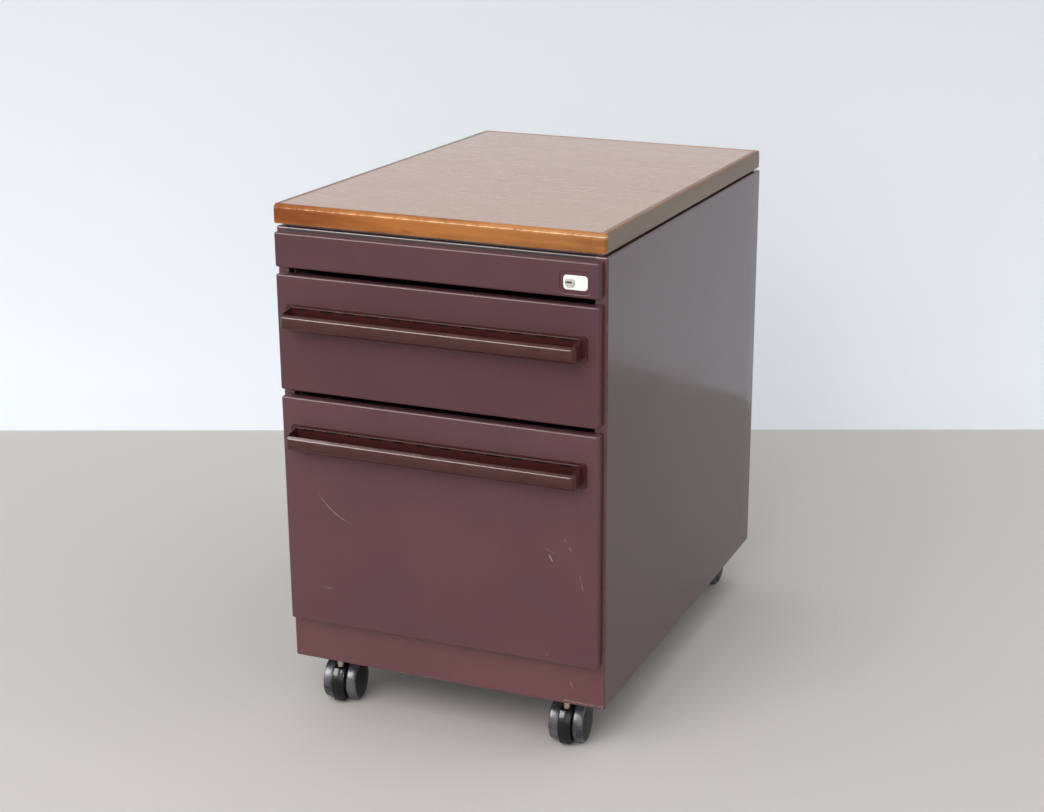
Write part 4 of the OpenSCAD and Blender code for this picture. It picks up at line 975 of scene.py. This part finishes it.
# ---- Casters ----
# Twin wheel furniture casters in black plastic: a hood that swivels on a steel
# stem, and two wheels with dusty grey treads and domed discs. The front ones
# stand slightly turned.
hood_black = moulded("hood_moulding", (0.005, 0.005, 0.006, 1), 0.12, 600.0, 0.003 * mm,
                     dust=0.05, dust_colour=(0.06, 0.055, 0.05, 1))
disc_black = moulded("wheel_disc_moulding", (0.016, 0.013, 0.012, 1), 0.42, 900.0, 0.02 * mm,
                     dust=0.20, dust_colour=(0.07, 0.058, 0.048, 1))
tread_grey = moulded("wheel_tread_moulding", (0.022, 0.024, 0.030, 1), 0.28, 260.0, 0.05 * mm,
                     dust=0.85, dust_colour=(0.15, 0.15, 0.168, 1))
for black in (hood_black, disc_black):
    black.node_tree.nodes["Principled BSDF"].inputs["Specular IOR Level"].default_value = 0.28
stems_lo, stems_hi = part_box("caster_stems")
collar_r = 7.5 * mm
stem_x = stems_hi.x - collar_r
turned = {"front_left": 8, "front_right": 5, "rear_left": 0, "rear_right": 0}
trail = 15  # of the axle behind the stem, in millimetres as all the caster's sizes below
axle_z = 25


def wheel_skin(side):
    """One wheel, hollow behind, with a rounded tread and a domed disc set in its rim."""
    inner, outer, dome, disc_r = 8.0, 20.5, 3.5, 21.5
    ball = (disc_r ** 2 + (dome + 0.4) ** 2) / (2 * (dome + 0.4))
    points = [  # distance from the caster's middle, radius, and paler rim as wear and painted highlight
        (inner + 11.8, 0.0, 0), (inner + 11.8, 3.05, 0), (inner, 3.05, 0), (inner, 6.6, 0),
        (inner + 0.4, 7.0, 0), (inner + 8, 7.0, 0), (inner + 8, 20.0, 0), (inner + 0.4, 20.0, 0),
        (inner, 20.4, 0.3), (inner, 22.3, 0.6), (inner + 0.12, 22.9, 1.0), (inner + 0.45, 23.6, 0.5),
        (inner + 1.1, 24.35, 0), (inner + 2.1, 24.85, 0), (inner + 4.2, 24.99, 0),
        (outer - 4.2, 24.99, 0), (outer - 2.1, 24.85, 0), (outer - 1.1, 24.35, 0),
        (outer - 0.45, 23.6, 0.2), (outer - 0.12, 22.9, 0.6), (outer, 22.35, 0.5),
        (outer - 0.1, 22.0, 0.1), (outer - 0.55, 21.75, 0)]
    for k in range(13):
        d = disc_r * (1 - k / 12)
        points.append((outer + dome - ball + math.sqrt(ball ** 2 - d ** 2), d, 0))
    profile = [(side * x * mm, r * mm) for x, r, _ in points]
    skin = lathe(profile, (0, trail * mm, axle_z * mm), "x", 64, [worn_and_highlit for _, _, worn_and_highlit in points])
    for patch in skin.faces:
        c = patch.calc_center_median()
        if math.hypot(c.y - trail * mm, c.z - axle_z * mm) < (disc_r + 0.4) * mm:
            patch.material_index = 1
    return skin


def hood_skin():
    """The hood as one crowned slab: fender, ridge and rounded toe, cut down round the stem."""
    side_view = []  # y, z and the share of the ridge's height

    def arc(y, z, radius, start, stop, steps, ridge):
        """Points on an arc; angles run from straight up towards the front."""
        for k in range(steps + 1):
            a = math.radians(start + (stop - start) * k / steps)
            side_view.append((y - radius * math.sin(a), z + radius * math.cos(a), ridge))

    arc(trail, axle_z, 29.5, 38.5, 122, 22, 1.0)
    arc(-5.1, 7, 3.5, 134, 262, 10, 0.0)
    side_view.append((1.9, 6.9, 0.0))
    arc(trail, axle_z, 22.0, 146, 360, 30, 0.0)
    side_view.append((trail, 53.6, 0.0))
    arc(trail, axle_z, 29.4, 2, 12, 3, 0.0)
    side_view.extend([(8.5, 53.0, 0.0), (8.5, 49.1, 0.0), (7.9, 48.5, 0.0), (-2.2, 48.5, 0.0),
                      (-2.75, 48.35, 0.3)])
    rings = [  # place across the hood, how far it is drawn in and the height of its ridge
        (-7.5, 1.5, 0), (-7.35, 0.95, 0), (-7.0, 0.55, 0), (-6.2, 0.30, 0), (-4.5, 0.12, 0), (-2.6, 0.03, 0),
        (-1.3, 0, 0), (-1.0, 0, 0.15), (-0.75, 0, 0.55), (-0.45, 0, 0.75), (0, 0, 0.8)]
    rings += [(-x, drawn_in, ridge) for x, drawn_in, ridge in rings[-2::-1]]
    rows = []
    for x, drawn_in, ridge in rings:
        row = []
        for y, z, share in side_view:
            off = math.hypot(y - trail, z - axle_z)
            scale = 1 + (ridge * share - drawn_in * min(1.0, off / 22)) / off
            spread = (trail + (y - trail) * scale, axle_z + (z - axle_z) * scale)
            row.append((x * mm, spread[0] * mm, spread[1] * mm))
        rows.append(row)
    return loft(rows)


def bored(skin, tool):
    """The skin with a hole cut by another."""
    made = []
    for part in (skin, tool):
        mesh = bpy.data.meshes.new("blank")
        part.to_mesh(mesh)
        part.free()
        blank = bpy.data.objects.new("blank", mesh)
        scene.collection.objects.link(blank)
        made.append(blank)
    cut = made[0].modifiers.new("bore", "BOOLEAN")
    cut.object = made[1]
    cut.operation = "DIFFERENCE"
    cut.solver = "EXACT"
    bpy.context.view_layer.update()
    drilled = made[0].evaluated_get(bpy.context.evaluated_depsgraph_get()).to_mesh()
    skin = bmesh.new()
    skin.from_mesh(drilled)
    for blank in made:
        mesh = blank.data
        bpy.data.objects.remove(blank)
        bpy.data.meshes.remove(mesh)
    return skin


socket_bore = [(31.7, 0.0), (31.7, 4.4), (70.0, 4.4), (70.0, 0.0)]
turned_bar = [  # height and radius
    (32.0, 0.0), (32.0, 3.9), (32.4, 4.25), (49.4, 4.25), (49.6, 3.7), (50.4, 3.7), (50.6, 4.25),
    (52.2, 4.25), (52.4, 3.6), (53.4, 3.6), (53.6, 4.25), (55.0, 4.25), (55.6, 4.6), (56.6, 4.6),
    (57.0, 4.25), (57.5, 4.25), (57.5, 7.1), (57.9, 7.5), (59.6, 7.5), (60.0, 7.1), (60.0, 5.5),
    (83.0, 5.5), (84.0, 4.6), (84.0, 0.0)]
stems = bmesh.new()
stems.verts.layers.float.new("rub_and_highlight")
for corner, degrees in turned.items():
    caster = f"{corner}_caster"
    x = -stem_x if corner.endswith("left") else stem_x
    y = stems_lo.y + collar_r if corner.startswith("front") else stems_hi.y - collar_r
    standing = Matrix.Translation((x, y, 0)) @ Matrix.Rotation(math.radians(degrees), 4, "Z")
    drill = lathe([(z * mm, r * mm) for z, r in socket_bore], (0, 0, 0), "z", 64)
    skin = bored(hood_skin(), drill)
    skin.transform(standing)
    piece(f"{corner}_hood_moulding", skin, hood_black, caster, "caster_plastic", f"{caster}_hood")
    for side, name in ((-1, "left"), (1, "right")):
        skin = wheel_skin(side)
        skin.transform(standing)
        wheel = piece(f"{corner}_{name}_wheel_moulding", skin, tread_grey, f"{corner}_{name}_wheel",
                      "wheel_plastic", f"{caster}_{name}_wheel")
        wheel.data.materials.append(disc_black)
    merge(stems, lathe([(z * mm, r * mm) for z, r in turned_bar], (x, y, 0), "z", 40))
piece("turned_caster_stems", stems, stem_steel, "case", "zinc_steel", "caster_stems")
